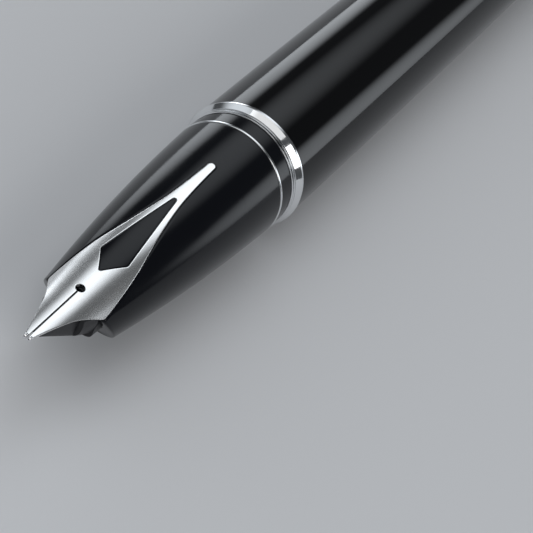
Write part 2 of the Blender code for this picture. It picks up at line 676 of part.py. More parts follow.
def o_ring(name, station, ring_radius, cord_radius, parent, material):
    """A rubber ring of round section."""
    sides = 8
    angles = [2 * math.pi * side / sides for side in range(sides)]
    loop = [
        (station + cord_radius * math.sin(a), ring_radius + cord_radius * math.cos(a))
        for a in angles
    ]
    return turned(name, loop, [], parent=parent, material=material)


groove_bottom = PILOT_RADIUS - O_RING_GROOVE
o_ring("coupling_o_ring", O_RING_STATION, groove_bottom + FACE_GAP + O_RING_RADIUS,
       O_RING_RADIUS, seal_axis, RUBBER)

# ---- rings in front of the barrel
turned(
    "section_thin_ring",
    [(THIN_RING_FRONT, SECTION_REAR_RADIUS + THIN_RING_STEP),
     (THIN_RING_FRONT + THIN_RING_WIDTH, SECTION_REAR_RADIUS + THIN_RING_STEP)],
    [(THIN_RING_FRONT, RING_BORE), (THIN_RING_FRONT + THIN_RING_WIDTH, RING_BORE)],
    facets=GRIP_FACETS, material=CHROME)
turned(
    "section_band",
    [(BAND_FRONT, BAND_RADIUS), (BAND_FRONT + BAND_WIDTH, BAND_RADIUS)],
    [(BAND_FRONT, RING_BORE), (BAND_FRONT + BAND_WIDTH, RING_BORE)],
    facets=GRIP_FACETS, material=BLACK_RESIN)

bead = DOUBLE_RING_WIDTH / 2
double_ring_top = SECTION_REAR_RADIUS + DOUBLE_RING_STEP
double_ring_profile = [
    (DOUBLE_RING_FRONT, double_ring_top - bead * 0.5),
    (DOUBLE_RING_FRONT + bead * 0.35, double_ring_top),
    (DOUBLE_RING_FRONT + bead * 0.7, double_ring_top),
    (DOUBLE_RING_FRONT + bead, double_ring_top - bead * 0.5),
    (DOUBLE_RING_FRONT + bead * 1.3, double_ring_top),
    (DOUBLE_RING_FRONT + bead * 1.65, double_ring_top),
    (DOUBLE_RING_FRONT + bead * 2, double_ring_top - bead * 0.5),
]
turned(
    "double_trim_ring", double_ring_profile,
    [(DOUBLE_RING_FRONT, RING_BORE + FACE_GAP),
     (DOUBLE_RING_FRONT + DOUBLE_RING_WIDTH, RING_BORE + FACE_GAP)],
    facets=GRIP_FACETS, parent=trim_axis, material=CHROME)

# ---- barrel with its mouth ring and thread insert
spigot_bore = PILOT_RADIUS + RUNNING_GAP
turned(
    "barrel_mouth_ring",
    [
        (MOUTH_RING_FRONT, WIDEST_RADIUS - MOUTH_RING_FLARE),
        (MOUTH_RING_REAR - MOUTH_RING_WIDTH * 0.15, WIDEST_RADIUS),
        (MOUTH_RING_REAR, WIDEST_RADIUS),
        (MOUTH_RING_REAR, WIDEST_RADIUS - MOUTH_LIP_STEP),
        (MOUTH_LIP_REAR, WIDEST_RADIUS - MOUTH_LIP_STEP),
        (MOUTH_LIP_REAR, INSERT_RADIUS),
        (MOUTH_SPIGOT_REAR, INSERT_RADIUS),
    ],
    [(MOUTH_RING_FRONT, spigot_bore), (MOUTH_SPIGOT_REAR, spigot_bore)],
    parent=barrel_axis, material=CHROME)
turned(
    "barrel_thread_insert",
    [(INSERT_FRONT, INSERT_RADIUS), (INSERT_REAR, INSERT_RADIUS)],
    [(INSERT_FRONT, INSERT_BORE), (INSERT_REAR, INSERT_BORE)],
    parent=barrel_axis, material=BRASS)


def barrel_skin(station):
    """The barrel's outer radius, nearly straight in front and tapering more to the tail."""
    along = (station - BARREL_FRONT) / (BARREL_REAR - BARREL_FRONT)
    return BARREL_RADIUS - (BARREL_RADIUS - BARREL_TAIL_RADIUS) * along ** BARREL_TAPER_POWER


barrel_stations = [
    BARREL_FRONT + (BARREL_REAR - BARREL_FRONT) * step / BARREL_STEPS
    for step in range(BARREL_STEPS + 1)
]
insert_stop = INSERT_REAR + 0.8 * MM
turned(
    "barrel_tube",
    [(station, barrel_skin(station)) for station in barrel_stations],
    [
        (BARREL_FRONT, BARREL_MOUTH_BORE),
        (insert_stop, BARREL_MOUTH_BORE),
        (insert_stop, BARREL_RADIUS - BARREL_WALL),
        (barrel_stations[3], barrel_skin(barrel_stations[3]) - BARREL_WALL),
        (barrel_stations[6], barrel_skin(barrel_stations[6]) - BARREL_WALL),
        (PLUG_FRONT - MM, TAIL_BORE),
        (BARREL_REAR, TAIL_BORE),
    ],
    parent=barrel_axis, material=BLACK_RESIN)

# ---- tail: a plug glued into the tube, a ring, and the end cap screwed in over it
stud_seat = STUD_RADIUS + SEAT_GAP
turned(
    "tail_plug",
    [(PLUG_FRONT, TAIL_BORE - SEAT_GAP), (PLUG_REAR, TAIL_BORE - SEAT_GAP)],
    [(PLUG_FRONT, stud_seat), (PLUG_REAR, stud_seat)],
    parent=barrel_axis, material=BRASS)
turned(
    "tail_ring",
    [
        (TAIL_RING_FRONT, BARREL_TAIL_RADIUS),
        (TAIL_RING_FRONT + TAIL_RING_WIDTH * 0.25, BARREL_TAIL_RADIUS + TAIL_RING_STEP),
        (TAIL_RING_FRONT + TAIL_RING_WIDTH * 0.75, BARREL_TAIL_RADIUS + TAIL_RING_STEP),
        (TAIL_RING_REAR, BARREL_TAIL_RADIUS),
    ],
    [(TAIL_RING_FRONT, stud_seat), (TAIL_RING_REAR, stud_seat)],
    parent=barrel_axis, material=CHROME)
cap_radius = BARREL_TAIL_RADIUS - CAP_STEP
cap_round = cap_radius - CAP_END_RADIUS
cap_curve = [
    (PEN_LENGTH - cap_round * (1 - math.sin(turn)), CAP_END_RADIUS + cap_round * math.cos(turn))
    for turn in (math.pi / 2 * step / 4 for step in range(5))
]
turned(
    "tail_cap",
    [(STUD_FRONT, STUD_RADIUS), (CAP_FRONT, STUD_RADIUS), (CAP_FRONT, cap_radius)] + cap_curve,
    parent=barrel_axis, material=BLACK_RESIN)

# ---- converter body
seal_front = CONVERTER_FRONT + MOUTH_SEAL_SETBACK
seal_rear = seal_front + MOUTH_SEAL_LENGTH
mouth_bore = PIPE_RADIUS + RUNNING_GAP + SEAT_GAP
spigot_radius = RESERVOIR_BORE - RUNNING_GAP
turned(
    "converter_mouth",
    [(CONVERTER_FRONT, MOUTH_RADIUS), (MOUTH_REAR, MOUTH_RADIUS),
     (MOUTH_REAR, spigot_radius), (MOUTH_REAR + MOUTH_SPIGOT, spigot_radius)],
    [
        (CONVERTER_FRONT, mouth_bore),
        (seal_front, mouth_bore),
        (seal_front, mouth_bore + MOUTH_SEAL_DEPTH),
        (seal_rear, mouth_bore + MOUTH_SEAL_DEPTH),
        (seal_rear, mouth_bore),
        (MOUTH_REAR + MOUTH_SPIGOT, mouth_bore),
    ],
    facets=INNER_FACETS, parent=converter_axis, material=DARK_PLASTIC)
turned(
    "converter_mouth_seal",
    [(seal_front + SEAT_GAP, mouth_bore + MOUTH_SEAL_DEPTH - SEAT_GAP),
     (seal_rear - SEAT_GAP, mouth_bore + MOUTH_SEAL_DEPTH - SEAT_GAP)],
    [(seal_front + SEAT_GAP, pipe_seat), (seal_rear - SEAT_GAP, pipe_seat)],
    facets=INNER_FACETS, parent=converter_axis, material=RUBBER)
turned(
    "converter_reservoir",
    [(RESERVOIR_FRONT, RESERVOIR_RADIUS), (RESERVOIR_REAR, RESERVOIR_RADIUS)],
    [(RESERVOIR_FRONT, RESERVOIR_BORE), (RESERVOIR_REAR, RESERVOIR_BORE)],
    parent=converter_axis, material=CLEAR_PLASTIC)
sleeve_bore = RESERVOIR_RADIUS + SEAT_GAP
turned(
    "converter_sleeve",
    [(SLEEVE_FRONT, SLEEVE_RADIUS), (SLEEVE_REAR, SLEEVE_RADIUS)],
    [(SLEEVE_FRONT, sleeve_bore), (SLEEVE_REAR, sleeve_bore)],
    parent=converter_axis, material=CHROME)
rod_bore = ROD_RADIUS + RUNNING_GAP
turned(
    "converter_rod_guide",
    [(GUIDE_FRONT, RESERVOIR_RADIUS), (GUIDE_REAR, RESERVOIR_RADIUS)],
    [(GUIDE_FRONT, rod_bore), (GUIDE_REAR, rod_bore)],
    parent=converter_axis, material=DARK_PLASTIC)
neck_bore = SPINDLE_NECK + RUNNING_GAP
turned(
    "converter_retainer",
    [
        (RETAINER_FRONT, RESERVOIR_RADIUS),
        (SLEEVE_REAR + FACE_GAP, RESERVOIR_RADIUS),
        (SLEEVE_REAR + FACE_GAP, SLEEVE_RADIUS),
        (RETAINER_REAR, SLEEVE_RADIUS),
    ],
    [(RETAINER_FRONT, neck_bore), (RETAINER_REAR, neck_bore)],
    parent=converter_axis, material=DARK_PLASTIC)

# ---- converter knob, which turns
turned(
    "converter_spindle",
    [(SPINDLE_FRONT, SPINDLE_RADIUS), (SPINDLE_SHOULDER, SPINDLE_RADIUS),
     (SPINDLE_SHOULDER, SPINDLE_NECK), (SPINDLE_REAR, SPINDLE_NECK)],
    [(SPINDLE_FRONT, rod_bore), (SPINDLE_REAR, rod_bore)],
    facets=INNER_FACETS, parent=knob_axis, material=DARK_PLASTIC)
knob_chamfer = 0.3 * MM
turned(
    "converter_knob",
    [
        (KNOB_FRONT, KNOB_RADIUS - knob_chamfer),
        (KNOB_FRONT + knob_chamfer, KNOB_RADIUS),
        (KNOB_REAR - knob_chamfer, KNOB_RADIUS),
        (KNOB_REAR, KNOB_RADIUS - knob_chamfer),
    ],
    [
        (KNOB_FRONT, SPINDLE_NECK + SEAT_GAP),
        (KNOB_FRONT + KNOB_SOCKET, SPINDLE_NECK + SEAT_GAP),
        (KNOB_FRONT + KNOB_SOCKET, KNOB_CAVITY),
        (KNOB_REAR, KNOB_CAVITY),
    ],
    parent=knob_axis, material=DARK_PLASTIC)
turned(
    "converter_knob_plug",
    [
        (KNOB_REAR - KNOB_PLUG_REACH, KNOB_CAVITY - SEAT_GAP),
        (KNOB_REAR + FACE_GAP, KNOB_CAVITY - SEAT_GAP),
        (KNOB_REAR + FACE_GAP, KNOB_RADIUS - 2 * knob_chamfer),
        (CONVERTER_REAR, KNOB_RADIUS - 3 * knob_chamfer),
    ],
    facets=INNER_FACETS, parent=knob_axis, material=CHROME)

# ---- piston and rod, which slide, and the loose ball that keeps the ink moving
rod_seat = ROD_RADIUS + SEAT_GAP
piston_radius = RESERVOIR_BORE - SEAT_GAP
piston_waist = piston_radius - 0.4 * MM
turned(
    "converter_piston_seal",
    [
        (PISTON_FRONT, piston_radius - 0.2 * MM),
        (PISTON_FRONT + 0.3 * MM, piston_radius),
        (PISTON_FRONT + 1.3 * MM, piston_radius),
        (PISTON_FRONT + 1.6 * MM, piston_waist),
        (PISTON_REAR - 1.6 * MM, piston_waist),
        (PISTON_REAR - 1.3 * MM, piston_radius),
        (PISTON_REAR, piston_radius),
        (PISTON_REAR, rod_seat),
        (PISTON_REAR - PISTON_SOCKET, rod_seat),
    ],
    facets=BARREL_FACETS, parent=piston_axis, material=RUBBER)
turned(
    "converter_piston_rod",
    [(ROD_FRONT, ROD_RADIUS), (ROD_REAR, ROD_RADIUS)],
    facets=INNER_FACETS, parent=piston_axis, material=DARK_PLASTIC)

ball_mesh = bpy.data.meshes.new("agitator_ball")
ball_shape = bmesh.new()
bmesh.ops.create_uvsphere(ball_shape, u_segments=16, v_segments=10, radius=BALL_RADIUS)
ball_shape.to_mesh(ball_mesh)
ball_shape.free()
ball_mesh.materials.append(STEEL)
ball = bpy.data.objects.new("agitator_ball", ball_mesh)
put_in(ball, False)
ball.parent = ball_axis
reservoir_floor = RESERVOIR_BORE * math.cos(math.pi / BARREL_FACETS)
ball.location = (reservoir_floor - BALL_RADIUS - FACE_GAP, 0.0, BALL_STATION)
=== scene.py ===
"""The looks of a fountain pen with an inlaid nib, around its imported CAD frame.

The pen lies along X with the nib at -X.  Stations are distances behind the nib's point, and
an angle round the pen is measured from straight up, positive towards +Y.  Sizes are in
millimetres until they are put in place.
"""

import math

import bmesh
import bpy
from mathutils import Matrix, Vector
from mathutils.geometry import interpolate_bezier


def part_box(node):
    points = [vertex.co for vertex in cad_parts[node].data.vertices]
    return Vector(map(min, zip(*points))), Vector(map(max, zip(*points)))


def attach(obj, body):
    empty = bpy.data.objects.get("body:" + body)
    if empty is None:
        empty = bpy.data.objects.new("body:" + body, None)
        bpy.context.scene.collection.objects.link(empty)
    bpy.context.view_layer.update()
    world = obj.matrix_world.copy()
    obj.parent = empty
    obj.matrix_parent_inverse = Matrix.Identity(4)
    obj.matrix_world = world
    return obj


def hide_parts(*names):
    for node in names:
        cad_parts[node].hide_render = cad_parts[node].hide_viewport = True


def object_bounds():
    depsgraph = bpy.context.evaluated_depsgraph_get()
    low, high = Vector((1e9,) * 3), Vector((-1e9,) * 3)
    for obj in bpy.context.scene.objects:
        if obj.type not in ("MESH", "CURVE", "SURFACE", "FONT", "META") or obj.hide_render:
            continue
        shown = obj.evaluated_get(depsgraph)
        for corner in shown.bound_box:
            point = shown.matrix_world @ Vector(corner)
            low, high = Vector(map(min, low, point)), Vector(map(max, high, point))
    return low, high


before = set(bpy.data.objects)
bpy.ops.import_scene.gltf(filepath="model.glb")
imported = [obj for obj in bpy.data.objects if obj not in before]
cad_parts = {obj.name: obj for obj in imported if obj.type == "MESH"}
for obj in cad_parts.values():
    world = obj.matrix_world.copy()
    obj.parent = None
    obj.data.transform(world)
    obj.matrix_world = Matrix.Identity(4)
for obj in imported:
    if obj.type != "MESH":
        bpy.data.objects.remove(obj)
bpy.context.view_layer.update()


# ---- Grip section: a black resin moulding, turned and polished, that the nib is let into.
# Its upper face has a pocket as deep as the nib's plate, with an island left standing where
# the plate has its window.  The front is cut off on a slant below the nib.
MM = 0.001
NIB_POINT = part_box("nib_tipping_left")[0].x
AXIS_HEIGHT = (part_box("barrel_tube")[0].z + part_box("barrel_tube")[1].z) / 2


def station_of(node, end):
    """The station in millimetres of a CAD node's front (0) or rear (1) end."""
    return (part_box(node)[end].x - NIB_POINT) / MM


def radius_of(node, facets=32):
    """A CAD node's outer radius in millimetres: its box reaches the flats of a faceted round."""
    low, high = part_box(node)
    return (high.z - low.z) / 2 / math.cos(math.pi / facets) / MM


def place(station, angle, radius):
    """A point of the pen from its station, angle and radius."""
    across, up = radius * math.sin(angle), radius * math.cos(angle)
    return Vector((NIB_POINT + station * MM, across * MM, AXIS_HEIGHT + up * MM))


def measured(co):
    """The station, angle and radius of a point of the pen."""
    across, up = co.y / MM, (co.z - AXIS_HEIGHT) / MM
    return (co.x - NIB_POINT) / MM, math.atan2(across, up), math.hypot(across, up)


SECTION_FRONT = station_of("grip_section", 0)
SECTION_REAR = station_of("grip_section", 1)
SECTION_LENGTH = SECTION_REAR - SECTION_FRONT
SECTION_REAR_RADIUS = radius_of("grip_section", 48)
SECTION_FRONT_RADIUS = 3.673
SECTION_BELLY = 0.391
NIB_DROOP = 0.69
EASING = 2.6              # the nib bends this far before and behind the section's edge
NIB_THICKNESS = 0.32
JOINT_GAP = 0.065         # the fine dark line round the inlay
LOOSE_FIT = 0.1
CLOSE_FIT = 0.02
INLAY_REAR = station_of("nib", 1)


def skin_radius(station):
    """The outer radius of the section, and of the nib in front of it."""
    rise = SECTION_REAR_RADIUS - SECTION_FRONT_RADIUS
    nib_slope = NIB_DROOP / SECTION_FRONT
    turn = (rise + 4 * SECTION_BELLY) / SECTION_LENGTH - nib_slope
    behind = station - SECTION_FRONT
    eased = turn * max(0.0, EASING - abs(behind)) ** 2 / (4 * EASING)
    if behind < 0:
        return SECTION_FRONT_RADIUS + nib_slope * behind + eased
    along = behind / SECTION_LENGTH
    return SECTION_FRONT_RADIUS + rise * along + 4 * SECTION_BELLY * along * (1 - along) + eased


def drawn_curve(points):
    """A smooth half outline as many (station, half width) pairs.

    points are (station, half width, handle), where the handle is the curve's direction and
    length at that point.
    """
    drawn = []
    for (s0, w0, h0), (s1, w1, h1) in zip(points, points[1:]):
        start, end = Vector((s0, w0, 0)), Vector((s1, w1, 0))
        part = interpolate_bezier(start, start + Vector((*h0, 0)), end - Vector((*h1, 0)), end, 40)
        drawn += [(point.x, point.y) for point in part]
    return drawn


def width_at(curve, station):
    """The half width of a drawn curve at a station, and zero outside it."""
    for (s0, w0), (s1, w1) in zip(curve, curve[1:]):
        if s0 <= station <= s1 and s1 > s0:
            return max(0.0, w0 + (w1 - w0) * (station - s0) / (s1 - s0))
    return 0.0


NIB_SHOULDER = 3.05
NIB_FRONT = station_of("nib", 0)
NIB_TAIL_WIDTH = 0.38
nib_edge = drawn_curve([
    (NIB_FRONT, 0.42, (0.3, 0.05)),
    (SECTION_FRONT * 0.55, 1.525, (1.6, 0.50)),
    (SECTION_FRONT, NIB_SHOULDER, (0.45, 0.06)),
    (14.47, 2.20, (2.0, -0.50)),
    (21.68, 0.81, (2.2, -0.30)),
    (INLAY_REAR - NIB_TAIL_WIDTH, NIB_TAIL_WIDTH, (0.21, 0.0)),
    (INLAY_REAR, 0.0, (0.0, -0.21)),
])
WINDOW_FRONT = 10.55
WINDOW_WIDEST = 13.1
WINDOW_REAR = 22.4
window_edge = drawn_curve([
    (WINDOW_FRONT, 0.0, (0.0, 0.12)),
    (WINDOW_FRONT + 0.18, 0.20, (0.10, 0.055)),
    (WINDOW_WIDEST - 0.25, 1.46, (0.12, 0.06)),
    (WINDOW_WIDEST + 0.25, 1.47, (0.12, -0.03)),
    (WINDOW_REAR - 0.30, 0.24, (0.12, -0.016)),
    (WINDOW_REAR, 0.0, (0.0, -0.12)),
])


def spaced(start, end, count, ends):
    """Stations from start up to but not at end, closer together at the ends that are named."""
    steps = []
    for index in range(count):
        share = index / count
        if ends == "both":
            share = (1 - math.cos(math.pi * share)) / 2
        elif ends == "rear":
            share = math.sin(math.pi / 2 * share)
        elif ends == "front":
            share = 1 - math.cos(math.pi / 2 * share)
        steps.append(start + (end - start) * share)
    return steps


def mapped_half(rows, columns, point_of):
    """A bmesh grid whose vertex at (row, column) is moved to point_of(row, column)."""
    shape = bmesh.new()
    bmesh.ops.create_grid(shape, x_segments=rows - 1, y_segments=columns - 1, size=0.5)
    for vert in shape.verts:
        row = round((vert.co.x + 0.5) * (rows - 1))
        column = round((vert.co.y + 0.5) * (columns - 1))
        vert.co = point_of(row, column)
    return shape


def both_halves(shape):
    """Mirror a half across the pen's middle plane and merge what meets there."""
    everything = list(shape.verts) + list(shape.edges) + list(shape.faces)
    bmesh.ops.mirror(shape, geom=everything, axis="Y", merge_dist=0.0)
    bmesh.ops.remove_doubles(shape, verts=shape.verts, dist=MERGE_DISTANCE)


MERGE_DISTANCE = 4e-7
SMOOTH_ANGLE = math.radians(35)


def finished(name, shape, material, body, *nodes):
    """Turn a bmesh into a piece that rides on a body and stands for its CAD nodes."""
    bmesh.ops.remove_doubles(shape, verts=shape.verts, dist=MERGE_DISTANCE)
    bmesh.ops.dissolve_degenerate(shape, edges=shape.edges, dist=MERGE_DISTANCE / 4)
    loose = [vert for vert in shape.verts if not vert.link_faces]
    bmesh.ops.delete(shape, geom=loose, context="VERTS")
    bmesh.ops.recalc_face_normals(shape, faces=shape.faces)
    mesh = bpy.data.meshes.new(name)
    shape.to_mesh(mesh)
    shape.free()
    mesh.shade_smooth()
    mesh.set_sharp_from_angle(angle=SMOOTH_ANGLE)
    mesh.materials.append(material)
    piece = bpy.data.objects.new(name, mesh)
    bpy.context.scene.collection.objects.link(piece)
    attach(piece, body)
    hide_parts(*nodes)
    return piece


def new_material(name, color, metallic, roughness):
    """A Principled material, with its node tree's nodes, links and shader."""
    made = bpy.data.materials.new(name)
    made.use_nodes = True
    nodes, links = made.node_tree.nodes, made.node_tree.links
    shader = nodes["Principled BSDF"]
    shader.inputs["Base Color"].default_value = (*color, 1.0)
    shader.inputs["Metallic"].default_value = metallic
    shader.inputs["Roughness"].default_value = roughness
    return made, nodes, links, shader


def noise_on(nodes, links, size, stretch, detail=3.0):
    """Noise in the piece's own coordinates, with grains of a size and a stretch in X, Y, Z."""
    place_node = nodes.new("ShaderNodeTexCoord")
    mapping = nodes.new("ShaderNodeMapping")
    noise = nodes.new("ShaderNodeTexNoise")
    mapping.inputs["Scale"].default_value = [1 / part for part in stretch]
    noise.inputs["Scale"].default_value = 1 / (size * MM)
    noise.inputs["Detail"].default_value = detail
    links.new(place_node.outputs["Object"], mapping.inputs["Vector"])
    links.new(mapping.outputs["Vector"], noise.inputs["Vector"])
    return noise


def ranged(nodes, links, source, low, high, target):
    """Send a noise's middle values to a socket as a range from low to high."""
    spread = nodes.new("ShaderNodeMapRange")
    spread.inputs["From Min"].default_value = 0.3
    spread.inputs["From Max"].default_value = 0.7
    spread.inputs["To Min"].default_value = low
    spread.inputs["To Max"].default_value = high
    links.new(source.outputs["Fac"], spread.inputs["Value"])
    links.new(spread.outputs["Result"], target)
    return spread


def bumped(nodes, links, source, depth, shader, output="Fac"):
    """Use a texture as a bump of a depth in millimetres."""
    bump = nodes.new("ShaderNodeBump")
    bump.inputs["Strength"].default_value = 1.0
    bump.inputs["Distance"].default_value = depth * MM
    links.new(source.outputs[output], bump.inputs["Height"])
    links.new(bump.outputs["Normal"], shader.inputs["Normal"])
    return bump


def textured(nodes, links, source, low, high, depth, shader):
    """Let one noise vary a finish's roughness from low to high and bump it by a depth."""
    ranged(nodes, links, source, low, high, shader.inputs["Roughness"])
    bumped(nodes, links, source, depth, shader)


black_resin, nodes, links, shader = new_material(
    "black_resin", (0.0040, 0.0046, 0.0066), 0.0, 0.10)
shader.inputs["IOR"].default_value = 1.47
shader.inputs["Specular IOR Level"].default_value = 0.22
shader.inputs["Coat Weight"].default_value = 0.08
shader.inputs["Coat Roughness"].default_value = 0.06
polish = noise_on(nodes, links, 2.2, (3.0, 1.0, 1.0), 6.0)
ranged(nodes, links, polish, 0.10, 0.17, shader.inputs["Roughness"])
ripple = noise_on(nodes, links, 0.35, (4.0, 1.0, 1.0), 4.0)
bumped(nodes, links, ripple, 0.0006, shader)

POCKET_DEPTH = NIB_THICKNESS + JOINT_GAP
RIM = 0.04                # the small round on the plate's edges and the island's
POCKET_RIM = 0.10         # the round on the pocket's edge, which catches a line of light
LIP = 0.22                # the rounded lip at the section's front edge
LIP_HEIGHT = 1.79
LIP_SLANT = 0.72
SHEAR_LENGTH = 12.0       # how far back the rows of vertices lean with the slanted front
ISLAND_COLUMNS = 9
FLOOR_COLUMNS = 5
SKIN_COLUMNS = 46
section_rows = [(SECTION_FRONT, "pocket")]
section_rows += [(SECTION_FRONT + LIP * share, "pocket") for share in (0.15, 0.4, 0.7, 1.0, 1.3)]
section_rows += [(s, "pocket") for s in spaced(SECTION_FRONT + 0.4, WINDOW_FRONT, 12, "rear")]
section_rows += [(WINDOW_FRONT + JOINT_GAP, "pocket")]
for start, end, count, ends in (
        (WINDOW_FRONT + JOINT_GAP, WINDOW_WIDEST, 26, "both"),
        (WINDOW_WIDEST, WINDOW_REAR - JOINT_GAP, 46, "both")):
    section_rows += [(s, "island") for s in spaced(start, end, count, ends)]
section_rows += [(WINDOW_REAR - JOINT_GAP, "island"), (WINDOW_REAR - JOINT_GAP, "pocket")]
section_rows += [
    (s, "pocket") for s in spaced(WINDOW_REAR, INLAY_REAR + JOINT_GAP, 26, "rear")]
section_rows += [(INLAY_REAR + JOINT_GAP, "pocket"), (INLAY_REAR + JOINT_GAP, "skin")]
section_rows += [(s, "skin") for s in spaced(INLAY_REAR + 0.3, SECTION_REAR - 0.12, 12, "rear")]
section_rows += [(SECTION_REAR - back, "skin") for back in (0.12, 0.06, 0.03, 0.01, 0.0)]
RIM_STEPS = ((0.0, 1.0), (0.3, 0.3), (1.0, 0.0), (2.5, 0.0))  # shares of the rim: inset, drop
ISLAND_END = ISLAND_COLUMNS + len(RIM_STEPS)
FLOOR_END = ISLAND_END + FLOOR_COLUMNS
SKIN_START = FLOOR_END + len(RIM_STEPS)
SECTION_COLUMNS = SKIN_START + SKIN_COLUMNS


def section_point(row, column):
    """Where a vertex of the section's upper skin, island, pocket floor or side belongs."""
    station, kind = section_rows[row]
    radius = skin_radius(station)
    island = max(0.0, width_at(window_edge, station) - JOINT_GAP) if kind == "island" else 0.0
    gap = math.sqrt(max(0.0, JOINT_GAP ** 2 - max(0.0, station - INLAY_REAR) ** 2))
    pocket = 0.0 if kind == "skin" else width_at(nib_edge, min(station, INLAY_REAR)) + gap
    island_angle, pocket_angle = math.asin(island / radius), math.asin(pocket / radius)
    rim_angle = RIM / radius
    depth = 0.0
    if column < ISLAND_END:
        index = ISLAND_END - 1 - column
        if index < len(RIM_STEPS):
            inset, drop = RIM_STEPS[index]
        else:
            inset = RIM_STEPS[-1][0]
            drop = 0.0
        inner = max(0.0, island_angle - inset * rim_angle)
        share = 1.0 if index < len(RIM_STEPS) else column / ISLAND_COLUMNS
        angle = inner * share
        depth = drop * RIM if island > 0 else 0.0
        if kind != "island":
            angle, depth = 0.0, 0.0 if kind == "skin" else POCKET_DEPTH
    elif column < FLOOR_END:
        share = (column - ISLAND_END) / (FLOOR_COLUMNS - 1)
        angle = island_angle + (pocket_angle - island_angle) * share
        depth = 0.0 if kind == "skin" else POCKET_DEPTH
    elif column < SKIN_START:
        inset, drop = RIM_STEPS[column - FLOOR_END]
        angle = (0.0 if kind == "skin" else pocket_angle) + inset * POCKET_RIM / radius
        depth = 0.0 if kind == "skin" else drop * POCKET_RIM
    else:
        first = pocket_angle + RIM_STEPS[-1][0] * POCKET_RIM / radius
        angle = first + (math.pi - first) * (column - SKIN_START + 1) / SKIN_COLUMNS
    start = SECTION_FRONT
    for _ in range(8):
        height = (skin_radius(start) - depth) * math.cos(angle)
        start = max(SECTION_FRONT, SECTION_FRONT + LIP_SLANT * (LIP_HEIGHT - height))
    shear = (start - SECTION_FRONT) * max(0.0, 1 - (station - SECTION_FRONT) / SHEAR_LENGTH)
    station += shear
    lip = max(0.0, 1 - (section_rows[row][0] - SECTION_FRONT) / LIP)
    rear_lip = max(0.0, 1 - (SECTION_REAR - station) / (LIP / 2))
    drop = LIP * (1 - math.sqrt(max(0.0, 1 - lip * lip))) if depth < POCKET_DEPTH else 0.0
    drop += LIP / 2 * (1 - math.sqrt(max(0.0, 1 - rear_lip * rear_lip)))
    return place(station, angle, skin_radius(station) - depth - drop)


FEED_RADIUS = 2.65
section_shape = mapped_half(len(section_rows), SECTION_COLUMNS, section_point)
both_halves(section_shape)
pocket_end = NIB_POINT + INLAY_REAR * MM
folded_faces = {
    face for edge in section_shape.edges for face in edge.link_faces
    if edge.is_boundary and abs(edge.verts[0].co.x - pocket_end) < MM}
bmesh.ops.delete(section_shape, geom=list(folded_faces), context="FACES")


def extended(shape, loop, move):
    """Extrude an open loop of edges, place its new vertices and return the new loop."""
    made = bmesh.ops.extrude_edge_only(shape, edges=loop)["geom"]
    for vert in (part for part in made if isinstance(part, bmesh.types.BMVert)):
        vert.co = move(vert.co)
    return [part for part in made if isinstance(part, bmesh.types.BMEdge) and part.is_boundary]


def bored(shape, loop, stations):
    """Carry a front loop inwards and back through a bore of (station, radius) steps."""
    for station, radius in stations:
        def to_bore(co, station=station, radius=radius):
            angle = measured(co)[1]
            if station is None:
                height = radius * math.cos(angle)
                slanted = SECTION_FRONT + LIP_SLANT * (LIP_HEIGHT - height)
                return place(max(SECTION_FRONT, slanted), angle, radius)
            return place(station, angle, radius)
        loop = extended(shape, loop, to_bore)
    return loop


housing_front = station_of("feed_housing", 0) - LOOSE_FIT
housing_radius = radius_of("feed_housing", 24)
coupling_front = station_of("threaded_coupling", 0) - LOOSE_FIT
COUPLING_NECK = 4.5
section_middle = NIB_POINT + (SECTION_FRONT + SECTION_REAR) / 2 * MM
open_edges = [edge for edge in section_shape.edges if edge.is_boundary]
front_loop = [edge for edge in open_edges if edge.verts[0].co.x < section_middle]
rear_loop = [edge for edge in open_edges if edge.verts[0].co.x > section_middle]
bore_loop = bored(section_shape, front_loop, [
    (None, FEED_RADIUS + JOINT_GAP),
    (housing_front, FEED_RADIUS + JOINT_GAP),
    (housing_front, housing_radius + JOINT_GAP),
    (coupling_front, housing_radius + JOINT_GAP),
    (coupling_front, COUPLING_NECK + JOINT_GAP),
    (SECTION_REAR, COUPLING_NECK + JOINT_GAP),
])
bmesh.ops.bridge_loops(section_shape, edges=bore_loop + rear_loop)
section = finished("grip_section_skin", section_shape, black_resin, "grip", "grip_section")


# ---- Nib: a steel plate, pressed to the section's curve, plated and brushed along its length.
# It is let into the section's pocket and held there by its rim.  A slit runs from the point
# to the breather hole, and the plate is open over the section's island.
nib_steel, nodes, links, shader = new_material("nib_steel", (0.80, 0.80, 0.79), 1.0, 0.24)
grain = noise_on(nodes, links, 0.13, (40.0, 1.0, 1.0), 2.0)
ranged(nodes, links, grain, 0.25, 0.28, shader.inputs["Roughness"])
bumped(nodes, links, grain, 0.0004, shader)
shade = nodes.new("ShaderNodeMix")
shade.data_type = "RGBA"
shade.inputs["A"].default_value = (0.94, 0.94, 0.935, 1.0)
shade.inputs["B"].default_value = (0.86, 0.86, 0.855, 1.0)
links.new(grain.outputs["Fac"], shade.inputs["Factor"])
links.new(shade.outputs["Result"], shader.inputs["Base Color"])

